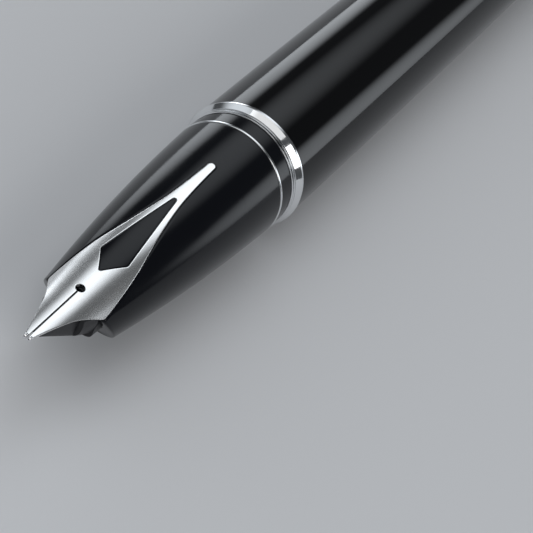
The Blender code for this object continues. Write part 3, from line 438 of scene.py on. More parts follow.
SLIT = 0.06
BREATHER = 0.45
BREATHER_STATION = SECTION_FRONT - 0.23
slit_end = BREATHER_STATION - math.sqrt(BREATHER ** 2 - SLIT ** 2)
nib_rows = [(s, "slit") for s in spaced(NIB_FRONT, slit_end, 40, "front")]
nib_rows += [(s, "hole") for s in spaced(slit_end, BREATHER_STATION + BREATHER, 24, "both")]
nib_rows += [(BREATHER_STATION + BREATHER, "hole")]
nib_rows += [(s, "plate") for s in spaced(
    BREATHER_STATION + BREATHER + 0.08, WINDOW_FRONT - 0.08, 14, "none")]
nib_rows += [(s, "window") for s in spaced(WINDOW_FRONT, WINDOW_WIDEST, 28, "both")]
nib_rows += [(s, "window") for s in spaced(WINDOW_WIDEST, WINDOW_REAR, 46, "both")]
nib_rows += [(WINDOW_REAR, "window")]
nib_rows += [(s, "plate") for s in spaced(WINDOW_REAR + 0.08, INLAY_REAR, 34, "rear")]
nib_rows += [(INLAY_REAR, "plate")]
PLATE_COLUMNS = 20
NIB_COLUMNS = PLATE_COLUMNS + 2 * len(RIM_STEPS)


def nib_inner(station, kind):
    """The half width of the opening in the nib's middle: slit, breather hole or window."""
    if kind == "slit":
        return SLIT
    if kind == "hole":
        return math.sqrt(max(0.0, BREATHER ** 2 - (station - BREATHER_STATION) ** 2))
    return width_at(window_edge, station) if kind == "window" else 0.0


def nib_point(row, column):
    """Where a vertex of the nib's upper face belongs."""
    station, kind = nib_rows[row]
    radius = skin_radius(station)
    inner = math.asin(nib_inner(station, kind) / radius)
    outer = math.asin(max(inner * radius, width_at(nib_edge, station)) / radius)
    rim = min(RIM / radius, (outer - inner) / 6)
    end_rim = max(0.0, 1 - (INLAY_REAR - station) / RIM)
    depth = RIM * end_rim * end_rim
    if column < len(RIM_STEPS):
        inset, drop = RIM_STEPS[column]
        angle = inner + inset * rim
        depth += 0.0 if kind == "plate" else drop * RIM
    elif column >= NIB_COLUMNS - len(RIM_STEPS):
        inset, drop = RIM_STEPS[NIB_COLUMNS - 1 - column]
        angle = outer - inset * rim
        depth = max(depth, drop * RIM)
    else:
        first, last = inner + RIM_STEPS[-1][0] * rim, outer - RIM_STEPS[-1][0] * rim
        share = (column - len(RIM_STEPS) + 1) / (PLATE_COLUMNS + 1)
        angle = first + (last - first) * share
    return place(station, angle, radius - depth)


def thickened(shape, thickness):
    """Give a face that follows the skin an underside and walls that point at the pen's axis."""
    def sunk(co):
        station, angle, _ = measured(co)
        return place(station, angle, skin_radius(station) - thickness)

    rim_edges = [edge for edge in shape.edges if edge.is_boundary]
    everything = list(shape.verts) + list(shape.edges) + list(shape.faces)
    copied = bmesh.ops.duplicate(shape, geom=everything)["geom"]
    for vert in (part for part in copied if isinstance(part, bmesh.types.BMVert)):
        vert.co = sunk(vert.co)
    extended(shape, rim_edges, sunk)


nib_shape = mapped_half(len(nib_rows), NIB_COLUMNS, nib_point)
both_halves(nib_shape)
thickened(nib_shape, NIB_THICKNESS)
nib = finished("nib_plate", nib_shape, nib_steel, "grip", "nib")


# ---- Hard point: a pellet of hard alloy welded under the nib's tip and slit with it.
# Each half is ground round and polished, so it is brighter than the brushed plate.
tipping_alloy, nodes, links, shader = new_material("tipping_alloy", (0.82, 0.82, 0.83), 1.0, 0.16)
ground = noise_on(nodes, links, 0.05, (1.0, 1.0, 1.0), 4.0)
textured(nodes, links, ground, 0.12, 0.24, 0.002, shader)
for name, node, side in (("tipping_left", "nib_tipping_left", 1),
                         ("tipping_right", "nib_tipping_right", -1)):
    low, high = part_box(node)
    pellet = bmesh.new()
    bmesh.ops.create_uvsphere(pellet, u_segments=32, v_segments=20, radius=1.0)
    half_long = (high.x - low.x) * 0.62
    bmesh.ops.scale(
        pellet, vec=(half_long, (high.y - low.y) * 0.54, (high.z - low.z) * 0.46),
        verts=pellet.verts)
    middle = Vector((low.x + half_long, (low.y + high.y) / 2, (low.z + high.z) / 2))
    bmesh.ops.translate(pellet, vec=middle, verts=pellet.verts)
    for vert in pellet.verts:
        vert.co.y = max(vert.co.y, low.y) if side > 0 else min(vert.co.y, high.y)
    piece = finished(name, pellet, tipping_alloy, "grip", node)


# ---- Feed: a black moulding under the nib that brings ink to the slit.  In front it is a
# wedge with crisp lower edges; behind a step it grows into a round plug with fins, which is
# pushed into the section's bore.
feed_plastic, nodes, links, shader = new_material(
    "feed_plastic", (0.008, 0.008, 0.010), 0.0, 0.34)
shader.inputs["Specular IOR Level"].default_value = 0.35
moulding = noise_on(nodes, links, 0.12, (1.0, 1.0, 1.0), 5.0)
textured(nodes, links, moulding, 0.28, 0.42, 0.004, shader)

FEED_FRONT = station_of("feed", 0)
FEED_REAR = station_of("feed", 1)
WEDGE_TIP_HEIGHT = 2.33
WEDGE_TIP_WIDTH = 0.48
WEDGE_FALL = 0.53
WEDGE_SPREAD = 0.27
WEDGE_LENGTH = 4.6
WEDGE_STEP = 0.45
INK_SLOT = 0.12
INK_SLOT_DEPTH = 0.9
FIN_DEPTH = 0.8
FIN_COUNT = 5
SIDE_CHAMFER = 0.07
body_rear = FEED_FRONT + (WEDGE_TIP_HEIGHT + FEED_RADIUS) / WEDGE_FALL
wedge_rear = FEED_FRONT + WEDGE_LENGTH
bore_entry = SECTION_FRONT - LOOSE_FIT
slot_front = SECTION_FRONT - 2.4
fin_front = body_rear + 1.2
fin_pitch = (FEED_REAR - 1.0 - fin_front) / FIN_COUNT
feed_rows = [(FEED_FRONT, 0.10), (FEED_FRONT + 0.03, 0.03), (FEED_FRONT + 0.10, 0.0)]
feed_rows += [(s, 0.0) for s in spaced(FEED_FRONT + 0.3, wedge_rear, 10, "none")]
feed_rows += [(wedge_rear, 0.0), (wedge_rear + 0.03, 0.0), (wedge_rear + 0.10, 0.0)]
feed_rows += [(s, 0.0) for s in spaced(wedge_rear + 0.3, bore_entry, 8, "none")]
feed_rows += [(bore_entry, 0.0), (bore_entry + 0.02, 0.0)]
feed_rows += [(s, 0.0) for s in spaced(bore_entry + 0.3, body_rear, 10, "none")]
feed_rows += [(body_rear, 0.0)]
for number in range(FIN_COUNT):
    groove_front = fin_front + fin_pitch * number
    groove_rear = groove_front + fin_pitch / 2
    feed_rows += [(groove_front, 0.0), (groove_front + 0.02, FIN_DEPTH),
                  (groove_rear - 0.02, FIN_DEPTH), (groove_rear, 0.0)]
feed_rows += [(FEED_REAR - 0.1, 0.0), (FEED_REAR - 0.03, 0.03), (FEED_REAR, 0.10)]
TOP_POINTS = 24
LOWER_POINTS = 44
FEED_COLUMNS = TOP_POINTS + LOWER_POINTS + 1


def feed_half_width(station):
    """Half the feed's width: a wedge, a step, and then a taper out to the full plug."""
    if station <= wedge_rear:
        return WEDGE_TIP_WIDTH + WEDGE_SPREAD * (station - FEED_FRONT)
    widened = min(1.0, (station - wedge_rear) / (bore_entry - wedge_rear))
    body = WEDGE_TIP_WIDTH + WEDGE_SPREAD * WEDGE_LENGTH + WEDGE_STEP
    return body + (FEED_RADIUS - body) * widened


def feed_point(row, column):
    """Where a feed vertex belongs: an arc on top, and sides and a bottom that get rounder."""
    station, inset = feed_rows[row]
    half_width = feed_half_width(station) - inset
    top = FEED_RADIUS - inset
    if station <= bore_entry:
        top = skin_radius(station) - NIB_THICKNESS - LOOSE_FIT - inset / 2
    bottom = max(-FEED_RADIUS, WEDGE_TIP_HEIGHT - WEDGE_FALL * (station - FEED_FRONT)) + inset
    rounded_share = min(1.0, max(0.0, (station - wedge_rear) / (body_rear - wedge_rear)))
    squareness = 9.0 if station <= wedge_rear else 4.0 - 2.0 * rounded_share
    chamfer = SIDE_CHAMFER * (1 - rounded_share)
    shoulder = math.sqrt(max(0.0, top ** 2 - half_width ** 2))
    column %= FEED_COLUMNS - 1
    if column < TOP_POINTS:
        share = column / (TOP_POINTS - 1)
        across = (half_width - chamfer) * math.cos(math.pi * share)
        height = math.sqrt(max(0.0, top ** 2 - across ** 2))
        in_slot = abs(abs(share - 0.5) - 0.5 / (TOP_POINTS - 1)) < 0.01
        if station > slot_front and in_slot:
            across = math.copysign(INK_SLOT, across)
            height = FEED_RADIUS - INK_SLOT_DEPTH - inset
    else:
        turn = math.pi * (column - TOP_POINTS + 0.5) / LOWER_POINTS
        across = -math.copysign(abs(math.cos(turn)) ** (2 / squareness), math.cos(turn))
        across *= half_width
        start = shoulder - chamfer
        height = start - (start - bottom) * math.sin(turn) ** (2 / squareness)
    return Vector((NIB_POINT + station * MM, across * MM, AXIS_HEIGHT + height * MM))


feed_shape = mapped_half(len(feed_rows), FEED_COLUMNS, feed_point)
bmesh.ops.remove_doubles(feed_shape, verts=feed_shape.verts, dist=MERGE_DISTANCE)
feed_ends = [edge for edge in feed_shape.edges if edge.is_boundary]
bmesh.ops.holes_fill(feed_shape, edges=feed_ends, sides=0)
feed = finished("feed_moulding", feed_shape, feed_plastic, "grip", "feed")


# ---- Feed housing and inlet pipe: the housing is a moulded plug behind the feed, and the
# drawn steel pipe pressed into it reaches into the converter's mouth.  Both are turned round
# the pen's axis here, as are all the round pieces after them.
def rounded(points, size, closed):
    """A profile with each corner turned into an arc, and a point beside each arc's ends."""
    made = []
    count = len(points)
    for index, corner in enumerate(points):
        corner = Vector(corner)
        if not closed and index in (0, count - 1):
            made.append(corner)
            continue
        back = Vector(points[index - 1]) - corner
        ahead = Vector(points[(index + 1) % count]) - corner
        turn = back.angle(-ahead, 0.0)
        reach = min(size, back.length * 0.35, ahead.length * 0.35)
        if turn < 0.25:
            made.append(corner)
            continue
        back.normalize()
        ahead.normalize()
        made.append(corner + back * reach * 1.35)
        for share in (0.0, 0.25, 0.5, 0.75, 1.0):
            made.append(corner + back * reach * (1 - share) ** 2 + ahead * reach * share ** 2)
        made.append(corner + ahead * reach * 1.35)
    return made


def spun(points, closed=True, steps=96, edge=0.08):
    """Turn a profile of (station, radius) points once round the pen's axis."""
    shape = bmesh.new()
    verts = [
        shape.verts.new(place(station, 0.0, radius))
        for station, radius in rounded(points, edge, closed)
    ]
    rim = [shape.edges.new(pair) for pair in zip(verts, verts[1:])]
    if closed:
        rim.append(shape.edges.new((verts[-1], verts[0])))
    bmesh.ops.spin(
        shape, geom=verts + rim, cent=(0.0, 0.0, AXIS_HEIGHT), axis=(1.0, 0.0, 0.0),
        dvec=(0.0, 0.0, 0.0), angle=2 * math.pi, steps=steps, use_merge=True)
    return shape


def tube_profile(front, rear, outer, bore):
    """A plain tube's profile."""
    return [(front, outer), (rear, outer), (rear, bore), (front, bore)]


PIPE_RADIUS = radius_of("inlet_pipe", 24)
PIPE_BORE = 0.6
steel, nodes, links, shader = new_material("drawn_steel", (0.58, 0.59, 0.60), 1.0, 0.30)
drawing = noise_on(nodes, links, 0.10, (20.0, 1.0, 1.0), 4.0)
textured(nodes, links, drawing, 0.24, 0.38, 0.003, shader)

front, rear = station_of("feed_housing", 0), station_of("feed_housing", 1)
housing = finished(
    "feed_plug_housing", spun(tube_profile(front, rear, housing_radius, PIPE_RADIUS + JOINT_GAP)),
    feed_plastic, "grip", "feed_housing")
front, rear = station_of("inlet_pipe", 0), station_of("inlet_pipe", 1)
pipe = finished(
    "ink_inlet_pipe", spun(tube_profile(front, rear, PIPE_RADIUS, PIPE_BORE), steps=64),
    steel, "grip", "inlet_pipe")


# ---- Threaded coupling: turned brass, glued into the section's rear.  Its outer thread takes
# the barrel, its pilot carries the trim rings, and its socket takes the converter.
brass, nodes, links, shader = new_material("turned_brass", (0.72, 0.52, 0.24), 1.0, 0.28)
turning = noise_on(nodes, links, 0.09, (0.35, 6.0, 6.0), 5.0)
textured(nodes, links, turning, 0.20, 0.38, 0.003, shader)
tarnish = noise_on(nodes, links, 3.0, (1.0, 1.0, 1.0), 3.0)
tint = nodes.new("ShaderNodeMix")
tint.data_type = "RGBA"
tint.inputs["A"].default_value = (0.74, 0.55, 0.26, 1.0)
tint.inputs["B"].default_value = (0.62, 0.43, 0.19, 1.0)
links.new(tarnish.outputs["Fac"], tint.inputs["Factor"])
links.new(tint.outputs["Result"], shader.inputs["Base Color"])

THREAD_PITCH = 0.55
THREAD_STARTS = 2
THREAD_DEPTH = 0.20
THREAD_STEP = 0.055
ON_SKIN = 0.001           # a point this near a radius lies on it


def thread_run(start, end, radius):
    """Closely spaced profile points for a thread to be cut in."""
    count = max(2, round(abs(end - start) / THREAD_STEP))
    return [(start + (end - start) * index / count, radius) for index in range(count + 1)]


def cut_thread(shape, start, end, radius, depth, pitch=THREAD_PITCH, ease=0.4):
    """Cut helical grooves of a depth, negative in a bore, into a spun shape's thread run."""
    for vert in shape.verts:
        station, angle, from_axis = measured(vert.co)
        if not start <= station <= end or abs(from_axis - radius) > ON_SKIN:
            continue
        turns = station / pitch - THREAD_STARTS * angle / (2 * math.pi)
        fade = min(1.0, (station - start) / ease, (end - station) / ease)
        groove = depth * fade * (0.5 - 0.5 * math.cos(2 * math.pi * turns))
        vert.co = place(station, angle, radius - groove)


COUPLING_FRONT = station_of("threaded_coupling", 0)
COUPLING_REAR = station_of("threaded_coupling", 1)
COUPLING_BORE = 3.85
SOCKET_BORE = 3.65
THREAD_RADIUS = 4.75
PILOT_RADIUS = radius_of("threaded_coupling")
GROOVE_RADIUS = PILOT_RADIUS - 0.8
GROOVE_FRONT = 37.85
THREAD_FRONT = 38.75
THREAD_REAR = COUPLING_REAR - 0.6
SOCKET_FRONT = 28.9
SOCKET_REAR = 36.0
coupling_profile = [
    (COUPLING_FRONT, COUPLING_NECK),
    (SECTION_REAR + 0.01, COUPLING_NECK),
    (SECTION_REAR + 0.01, PILOT_RADIUS),
    (GROOVE_FRONT, PILOT_RADIUS),
    (GROOVE_FRONT, GROOVE_RADIUS),
    (THREAD_FRONT, GROOVE_RADIUS),
    (THREAD_FRONT, THREAD_RADIUS),
    *thread_run(THREAD_FRONT + LOOSE_FIT, THREAD_REAR, THREAD_RADIUS),
    (COUPLING_REAR, THREAD_RADIUS - 0.3),
    (COUPLING_REAR, COUPLING_BORE),
    (SOCKET_REAR + 0.2, COUPLING_BORE),
    (SOCKET_REAR, SOCKET_BORE),
    (SOCKET_FRONT, SOCKET_BORE),
    (SOCKET_FRONT, PIPE_RADIUS + JOINT_GAP),
    (COUPLING_FRONT, PIPE_RADIUS + JOINT_GAP),
]
coupling_shape = spun(coupling_profile)
cut_thread(coupling_shape, THREAD_FRONT + LOOSE_FIT, THREAD_REAR, THREAD_RADIUS, THREAD_DEPTH)
coupling = finished("section_coupling", coupling_shape, brass, "grip", "threaded_coupling")

# ---- Sealing ring: black rubber, in the coupling's groove in front of the thread.
rubber, nodes, links, shader = new_material("black_rubber", (0.018, 0.018, 0.019), 0.0, 0.60)
bloom = noise_on(nodes, links, 0.15, (1.0, 1.0, 1.0), 5.0)
textured(nodes, links, bloom, 0.50, 0.72, 0.006, shader)
RING_CORD = 0.4
ring_low, ring_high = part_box("coupling_o_ring")
ring_station = (station_of("coupling_o_ring", 0) + station_of("coupling_o_ring", 1)) / 2
ring_middle = radius_of("coupling_o_ring") - RING_CORD
ring_sides = [2 * math.pi * side / 24 for side in range(24)]
seal_ring = finished(
    "coupling_seal_ring",
    spun([(ring_station + RING_CORD * math.sin(a), ring_middle + RING_CORD * math.cos(a))
          for a in ring_sides]),
    rubber, "seal", "coupling_o_ring")


# ---- Trim in front of the barrel: a thin bright ring at the section's edge, a black band, a
# ring with two beads, and the barrel's wide mouth ring with its lip.  The bright rings are
# turned, polished and plated.
chrome, nodes, links, shader = new_material("bright_plating", (0.78, 0.79, 0.80), 1.0, 0.06)
buffing = noise_on(nodes, links, 0.8, (1.0, 1.0, 1.0), 5.0)
textured(nodes, links, buffing, 0.05, 0.12, 0.0004, shader)

RING_BORE = 5.05


def ends_of(node):
    """A CAD node's front and rear stations."""
    return station_of(node, 0), station_of(node, 1)


front, rear = ends_of("section_thin_ring")
thin_ring = finished(
    "thin_ring",
    spun(tube_profile(front, rear, radius_of("section_thin_ring", 48), RING_BORE),
         steps=144, edge=0.11),
    chrome, "grip", "section_thin_ring")
front, rear = ends_of("section_band")
band = finished(
    "black_band",
    spun(tube_profile(front, rear, radius_of("section_band", 48), RING_BORE), steps=144, edge=0.06),
    black_resin, "grip", "section_band")

front, rear = ends_of("double_trim_ring")
bead_top = radius_of("double_trim_ring", 48)
BEAD_HALF_WIDTH = (rear - front) * 0.15
BEAD_DEPTH = 0.30
groove_floor = bead_top - BEAD_DEPTH
bead_arcs = [
    (middle - BEAD_HALF_WIDTH * math.cos(turn),
     bead_top - BEAD_DEPTH * (1 - math.sin(turn) ** 0.6))
    for middle in (front + BEAD_HALF_WIDTH, rear - BEAD_HALF_WIDTH)
    for turn in (math.pi * step / 12 for step in range(13))
]
double_ring = finished(
    "beaded_ring",
    spun([*bead_arcs, (rear, RING_BORE + CLOSE_FIT), (front, RING_BORE + CLOSE_FIT)],
         steps=144, edge=0.01),
    chrome, "trim", "double_trim_ring")
double_ring.data.materials.append(black_resin)      # the floor of the groove between the beads gets the black resin, so it shows dark
for face in double_ring.data.polygons:
    from_axis = measured(face.center)[2]
    if abs(from_axis - groove_floor) < 0.06 and abs(face.normal.x) < 0.5:
        face.material_index = 1

MOUTH_RING_WIDTH = 0.76
MOUTH_FLARE = 0.34
MOUTH_LIP_WIDTH = 0.3
MOUTH_LIP_STEP = 0.1
INSERT_RADIUS = 5.9
WIDEST_RADIUS = radius_of("barrel_mouth_ring")
front, rear = ends_of("barrel_mouth_ring")
ring_rear = front + MOUTH_RING_WIDTH
lip_rear = ring_rear + MOUTH_LIP_WIDTH
mouth_ring = finished(
    "barrel_mouth",
    spun([
        (front, WIDEST_RADIUS - MOUTH_FLARE),
        (ring_rear - MOUTH_RING_WIDTH * 0.15, WIDEST_RADIUS),
        (ring_rear, WIDEST_RADIUS),
        (ring_rear, WIDEST_RADIUS - MOUTH_LIP_STEP),
        (lip_rear, WIDEST_RADIUS - MOUTH_LIP_STEP),
        (lip_rear, INSERT_RADIUS),
        (rear, INSERT_RADIUS),
        (rear, PILOT_RADIUS + LOOSE_FIT),
        (front, PILOT_RADIUS + LOOSE_FIT),
    ], steps=144, edge=0.05),
    chrome, "barrel", "barrel_mouth_ring")


# ---- Barrel: a drawn tube in polished black lacquer, nearly straight and then tapering, with
# a turned brass insert inside its mouth that screws on to the coupling.
black_lacquer, nodes, links, shader = new_material(
    "black_lacquer", (0.0035, 0.0036, 0.0042), 0.0, 0.07)
shader.inputs["IOR"].default_value = 1.47
shader.inputs["Specular IOR Level"].default_value = 0.22
shader.inputs["Coat Weight"].default_value = 0.10
shader.inputs["Coat Roughness"].default_value = 0.04
haze = noise_on(nodes, links, 3.0, (3.0, 1.0, 1.0), 6.0)
ranged(nodes, links, haze, 0.06, 0.11, shader.inputs["Roughness"])
flow = noise_on(nodes, links, 0.6, (5.0, 1.0, 1.0), 4.0)
bumped(nodes, links, flow, 0.0006, shader)

BARREL_FRONT, BARREL_REAR = ends_of("barrel_tube")
BARREL_RADIUS = radius_of("barrel_tube")
BARREL_TAIL_RADIUS = 5.4
BARREL_TAPER_POWER = 1.9
BARREL_WALL = 0.96
TAIL_BORE = 4.6
INSERT_FRONT, INSERT_REAR = ends_of("barrel_thread_insert")
PLUG_FRONT, PLUG_REAR = ends_of("tail_plug")


def barrel_skin(station):
    """The barrel's outer radius, nearly straight in front and tapering more to the tail."""
    along = (station - BARREL_FRONT) / (BARREL_REAR - BARREL_FRONT)
    return BARREL_RADIUS - (BARREL_RADIUS - BARREL_TAIL_RADIUS) * along ** BARREL_TAPER_POWER


barrel_stations = [
    BARREL_FRONT + (BARREL_REAR - BARREL_FRONT) * step / 40 for step in range(41)]
barrel_profile = [(s, barrel_skin(s)) for s in barrel_stations]
barrel_profile += [(BARREL_REAR, TAIL_BORE), (PLUG_FRONT - 1.0, TAIL_BORE)]
barrel_profile += [
    (s, barrel_skin(s) - BARREL_WALL)
    for s in (BARREL_FRONT + (BARREL_REAR - BARREL_FRONT) * share for share in (0.6, 0.3))]
barrel_profile += [
    (INSERT_REAR + 0.8, BARREL_RADIUS - BARREL_WALL),
    (INSERT_REAR + 0.8, INSERT_RADIUS + JOINT_GAP),
    (BARREL_FRONT, INSERT_RADIUS + JOINT_GAP),
]
barrel = finished(
    "barrel_shell", spun(barrel_profile, steps=144), black_lacquer, "barrel", "barrel_tube")

INSERT_BORE = 4.85
insert_shape = spun([
    (INSERT_FRONT, radius_of("barrel_thread_insert")),
    (INSERT_REAR, radius_of("barrel_thread_insert")),
    *thread_run(INSERT_REAR, INSERT_FRONT, INSERT_BORE),
], edge=0.0)
cut_thread(insert_shape, INSERT_FRONT, INSERT_REAR, INSERT_BORE, -THREAD_DEPTH)
insert = finished("barrel_insert", insert_shape, brass, "barrel", "barrel_thread_insert")


# ---- Tail: a brass plug glued into the tube, a bright ring, and a lacquered end cap whose
# stud goes through the ring into the plug.
STUD_RADIUS = 2.5
CAP_END_RADIUS = 3.9
plug = finished(
    "tail_insert",
    spun(tube_profile(PLUG_FRONT, PLUG_REAR, radius_of("tail_plug"), STUD_RADIUS + JOINT_GAP)),
    brass, "barrel", "tail_plug")
front, rear = ends_of("tail_ring")
ring_bulge = radius_of("tail_ring") - BARREL_TAIL_RADIUS
crown = [
    (front + (rear - front) * step / 12,
     BARREL_TAIL_RADIUS - 0.03 + (ring_bulge + 0.03) * math.sin(math.pi * step / 12) ** 0.6)
    for step in range(13)
]
end_ring = finished(
    "tail_end_ring",
    spun([*crown, (rear, STUD_RADIUS + JOINT_GAP), (front, STUD_RADIUS + JOINT_GAP)],
         steps=144, edge=0.02),
    chrome, "barrel", "tail_ring")
STUD_FRONT, CAP_REAR = ends_of("tail_cap")
CAP_FRONT = rear + CLOSE_FIT
cap_radius = radius_of("tail_cap")
cap_round = cap_radius - CAP_END_RADIUS
cap_curve = [
    (CAP_REAR - cap_round * (1 - math.sin(turn)), CAP_END_RADIUS + cap_round * math.cos(turn))
    for turn in (math.pi / 2 * step / 16 for step in range(17))
]
cap = finished(
    "tail_end_cap",
    spun([(STUD_FRONT, 0.0), (STUD_FRONT, STUD_RADIUS), (CAP_FRONT, STUD_RADIUS),
          (CAP_FRONT, cap_radius), *cap_curve, (CAP_REAR, 0.0)], closed=False, steps=144),
    black_lacquer, "barrel", "tail_cap")


# ---- Converter body: a clear moulded reservoir between a black mouth, which pushes on to the
# inlet pipe over a rubber seal, and a thin bright sleeve.  A guide keeps the rod from turning
# and a retainer holds the spindle in.
clear_plastic, nodes, links, shader = new_material("clear_plastic", (0.90, 0.93, 0.95), 0.0, 0.05)
shader.inputs["Transmission Weight"].default_value = 0.92
shader.inputs["IOR"].default_value = 1.49
drawn = noise_on(nodes, links, 1.5, (6.0, 1.0, 1.0), 4.0)
textured(nodes, links, drawn, 0.03, 0.09, 0.0008, shader)
dark_plastic, nodes, links, shader = new_material(
    "dark_plastic", (0.020, 0.020, 0.022), 0.0, 0.36)
satin = noise_on(nodes, links, 0.20, (1.0, 1.0, 1.0), 5.0)
textured(nodes, links, satin, 0.30, 0.45, 0.004, shader)

RESERVOIR_BORE = 2.9
MOUTH_BORE = PIPE_RADIUS + 0.15
MOUTH_SEAL_DEPTH = 0.45
seal_front, seal_rear = ends_of("converter_mouth_seal")
front, rear = ends_of("converter_mouth")
MOUTH_REAR = front + 6.5
mouth_radius = radius_of("converter_mouth", 24)
mouth = finished(
    "converter_inlet_mouth",
    spun([
        (front, mouth_radius), (MOUTH_REAR, mouth_radius),
        (MOUTH_REAR, RESERVOIR_BORE - LOOSE_FIT), (rear, RESERVOIR_BORE - LOOSE_FIT),
        (rear, MOUTH_BORE),
        (seal_rear + JOINT_GAP, MOUTH_BORE), (seal_rear + JOINT_GAP, MOUTH_BORE + MOUTH_SEAL_DEPTH),
        (seal_front - JOINT_GAP, MOUTH_BORE + MOUTH_SEAL_DEPTH),
        (seal_front - JOINT_GAP, MOUTH_BORE), (front, MOUTH_BORE),
    ]),
    dark_plastic, "converter", "converter_mouth")
mouth_seal = finished(
    "converter_seal",
    spun(tube_profile(seal_front, seal_rear, radius_of("converter_mouth_seal", 24),
                      PIPE_RADIUS + JOINT_GAP), edge=0.15),
    rubber, "converter", "converter_mouth_seal")
reservoir_front, reservoir_rear = ends_of("converter_reservoir")
RESERVOIR_RADIUS = radius_of("converter_reservoir")
reservoir = finished(
    "reservoir_tube",
    spun(tube_profile(reservoir_front, reservoir_rear, RESERVOIR_RADIUS, RESERVOIR_BORE)),
    clear_plastic, "converter", "converter_reservoir")

front, rear = ends_of("converter_sleeve")
SLEEVE_RADIUS = radius_of("converter_sleeve")
SLEEVE_GROOVES = (0.30, 0.33, 0.36)
sleeve_profile = [(front, SLEEVE_RADIUS)]
for share in SLEEVE_GROOVES:
    middle = front + (rear - front) * share
    sleeve_profile += [
        (middle - 0.15, SLEEVE_RADIUS), (middle, SLEEVE_RADIUS - 0.08),
        (middle + 0.15, SLEEVE_RADIUS)]
sleeve_profile += [(rear, SLEEVE_RADIUS), (rear, RESERVOIR_RADIUS + JOINT_GAP),
                   (front, RESERVOIR_RADIUS + JOINT_GAP)]
sleeve = finished(
    "converter_metal_sleeve", spun(sleeve_profile, edge=0.04), chrome, "converter",
    "converter_sleeve")

ROD_RADIUS = 1.2
SPINDLE_NECK = 2.2
front, rear = ends_of("converter_rod_guide")
guide = finished(
    "rod_guide", spun(tube_profile(front, rear, RESERVOIR_RADIUS, ROD_RADIUS + LOOSE_FIT)),
    dark_plastic, "converter", "converter_rod_guide")
front, rear = ends_of("converter_retainer")
sleeve_end = station_of("converter_sleeve", 1) + CLOSE_FIT
retainer = finished(
    "spindle_retainer",
    spun([(front, RESERVOIR_RADIUS), (sleeve_end, RESERVOIR_RADIUS), (sleeve_end, SLEEVE_RADIUS),
          (rear, SLEEVE_RADIUS), (rear, SPINDLE_NECK + LOOSE_FIT),
          (front, SPINDLE_NECK + LOOSE_FIT)]),
    dark_plastic, "converter", "converter_retainer")


# ---- Converter knob: a ribbed moulding pressed on to the spindle, which turns inside the
# sleeve and drives the rod.  A small bright plug closes its end.
KNOB_RIBS = 30
RIB_DEPTH = 0.14
RIB_EASE = 0.8
RIB_STEPS = 16
RIB_MARGIN = 1.2
KNOB_CHAMFER = 0.3
KNOB_CAVITY = 1.4
KNOB_SOCKET = 3.1
front, rear = ends_of("converter_spindle")
shoulder = station_of("converter_retainer", 0) - LOOSE_FIT
spindle_radius = radius_of("converter_spindle", 24)
spindle = finished(
    "knob_spindle",
    spun([(front, spindle_radius), (shoulder, spindle_radius),
          (shoulder, SPINDLE_NECK), (rear, SPINDLE_NECK), (rear, ROD_RADIUS + LOOSE_FIT),
          (front, ROD_RADIUS + LOOSE_FIT)]),
    dark_plastic, "knob", "converter_spindle")
front, rear = ends_of("converter_knob")
KNOB_RADIUS = radius_of("converter_knob")
rib_front, rib_rear = front + RIB_MARGIN, rear - RIB_MARGIN
knob_shape = spun([
    (front, KNOB_RADIUS - KNOB_CHAMFER), (front + KNOB_CHAMFER, KNOB_RADIUS),
    *[(rib_front + (rib_rear - rib_front) * step / RIB_STEPS, KNOB_RADIUS)
      for step in range(RIB_STEPS + 1)],
    (rear - KNOB_CHAMFER, KNOB_RADIUS), (rear, KNOB_RADIUS - KNOB_CHAMFER),
    (rear, KNOB_CAVITY), (front + KNOB_SOCKET, KNOB_CAVITY),
    (front + KNOB_SOCKET, SPINDLE_NECK + JOINT_GAP), (front, SPINDLE_NECK + JOINT_GAP),
], steps=KNOB_RIBS * 8)
for vert in knob_shape.verts:
    station, angle, from_axis = measured(vert.co)
    if rib_front < station < rib_rear and abs(from_axis - KNOB_RADIUS) < 10 * ON_SKIN:
        fade = min(1.0, (station - rib_front) / RIB_EASE, (rib_rear - station) / RIB_EASE)
        groove = RIB_DEPTH * fade * (0.5 - 0.5 * math.cos(KNOB_RIBS * angle)) ** 2
        vert.co = place(station, angle, KNOB_RADIUS - groove)
knob = finished("filling_knob", knob_shape, dark_plastic, "knob", "converter_knob")
front, rear = ends_of("converter_knob_plug")
knob_rear = station_of("converter_knob", 1) + CLOSE_FIT
plug_radius = radius_of("converter_knob_plug", 24)
knob_plug = finished(
    "filling_knob_plug",
    spun([(front, 0.0), (front, KNOB_CAVITY - JOINT_GAP), (knob_rear, KNOB_CAVITY - JOINT_GAP),
          (knob_rear, plug_radius), (rear, plug_radius - KNOB_CHAMFER), (rear, 0.0)],
         closed=False, edge=0.15),
    chrome, "knob", "converter_knob_plug")


# ---- Piston: a rubber seal with two lips, pushed on to a moulded rod with a coarse screw on
# it.  A loose steel ball in the reservoir keeps the ink moving.
LIP_RISE = 0.4
piston_front, piston_rear = ends_of("converter_piston_seal")
piston_radius = radius_of("converter_piston_seal")
waist = piston_radius - LIP_RISE
rod_front, rod_rear = ends_of("converter_piston_rod")
piston = finished(
    "piston_seal",
    spun([
        (piston_front, 0.0), (piston_front, piston_radius - 0.2),
        (piston_front + 0.3, piston_radius), (piston_front + 1.3, piston_radius),
        (piston_front + 1.6, waist), (piston_rear - 1.6, waist),
        (piston_rear - 1.3, piston_radius), (piston_rear, piston_radius),
        (piston_rear, ROD_RADIUS + JOINT_GAP), (rod_front - JOINT_GAP, ROD_RADIUS + JOINT_GAP),
        (rod_front - JOINT_GAP, 0.0),
    ], closed=False, edge=0.12),
    rubber, "piston", "converter_piston_seal")
SCREW_LEAD = 3.0
SCREW_DEPTH = 0.22
SCREW_STEPS = 220
screw_front, screw_rear = rod_front + 3.0, rod_rear - 1.0
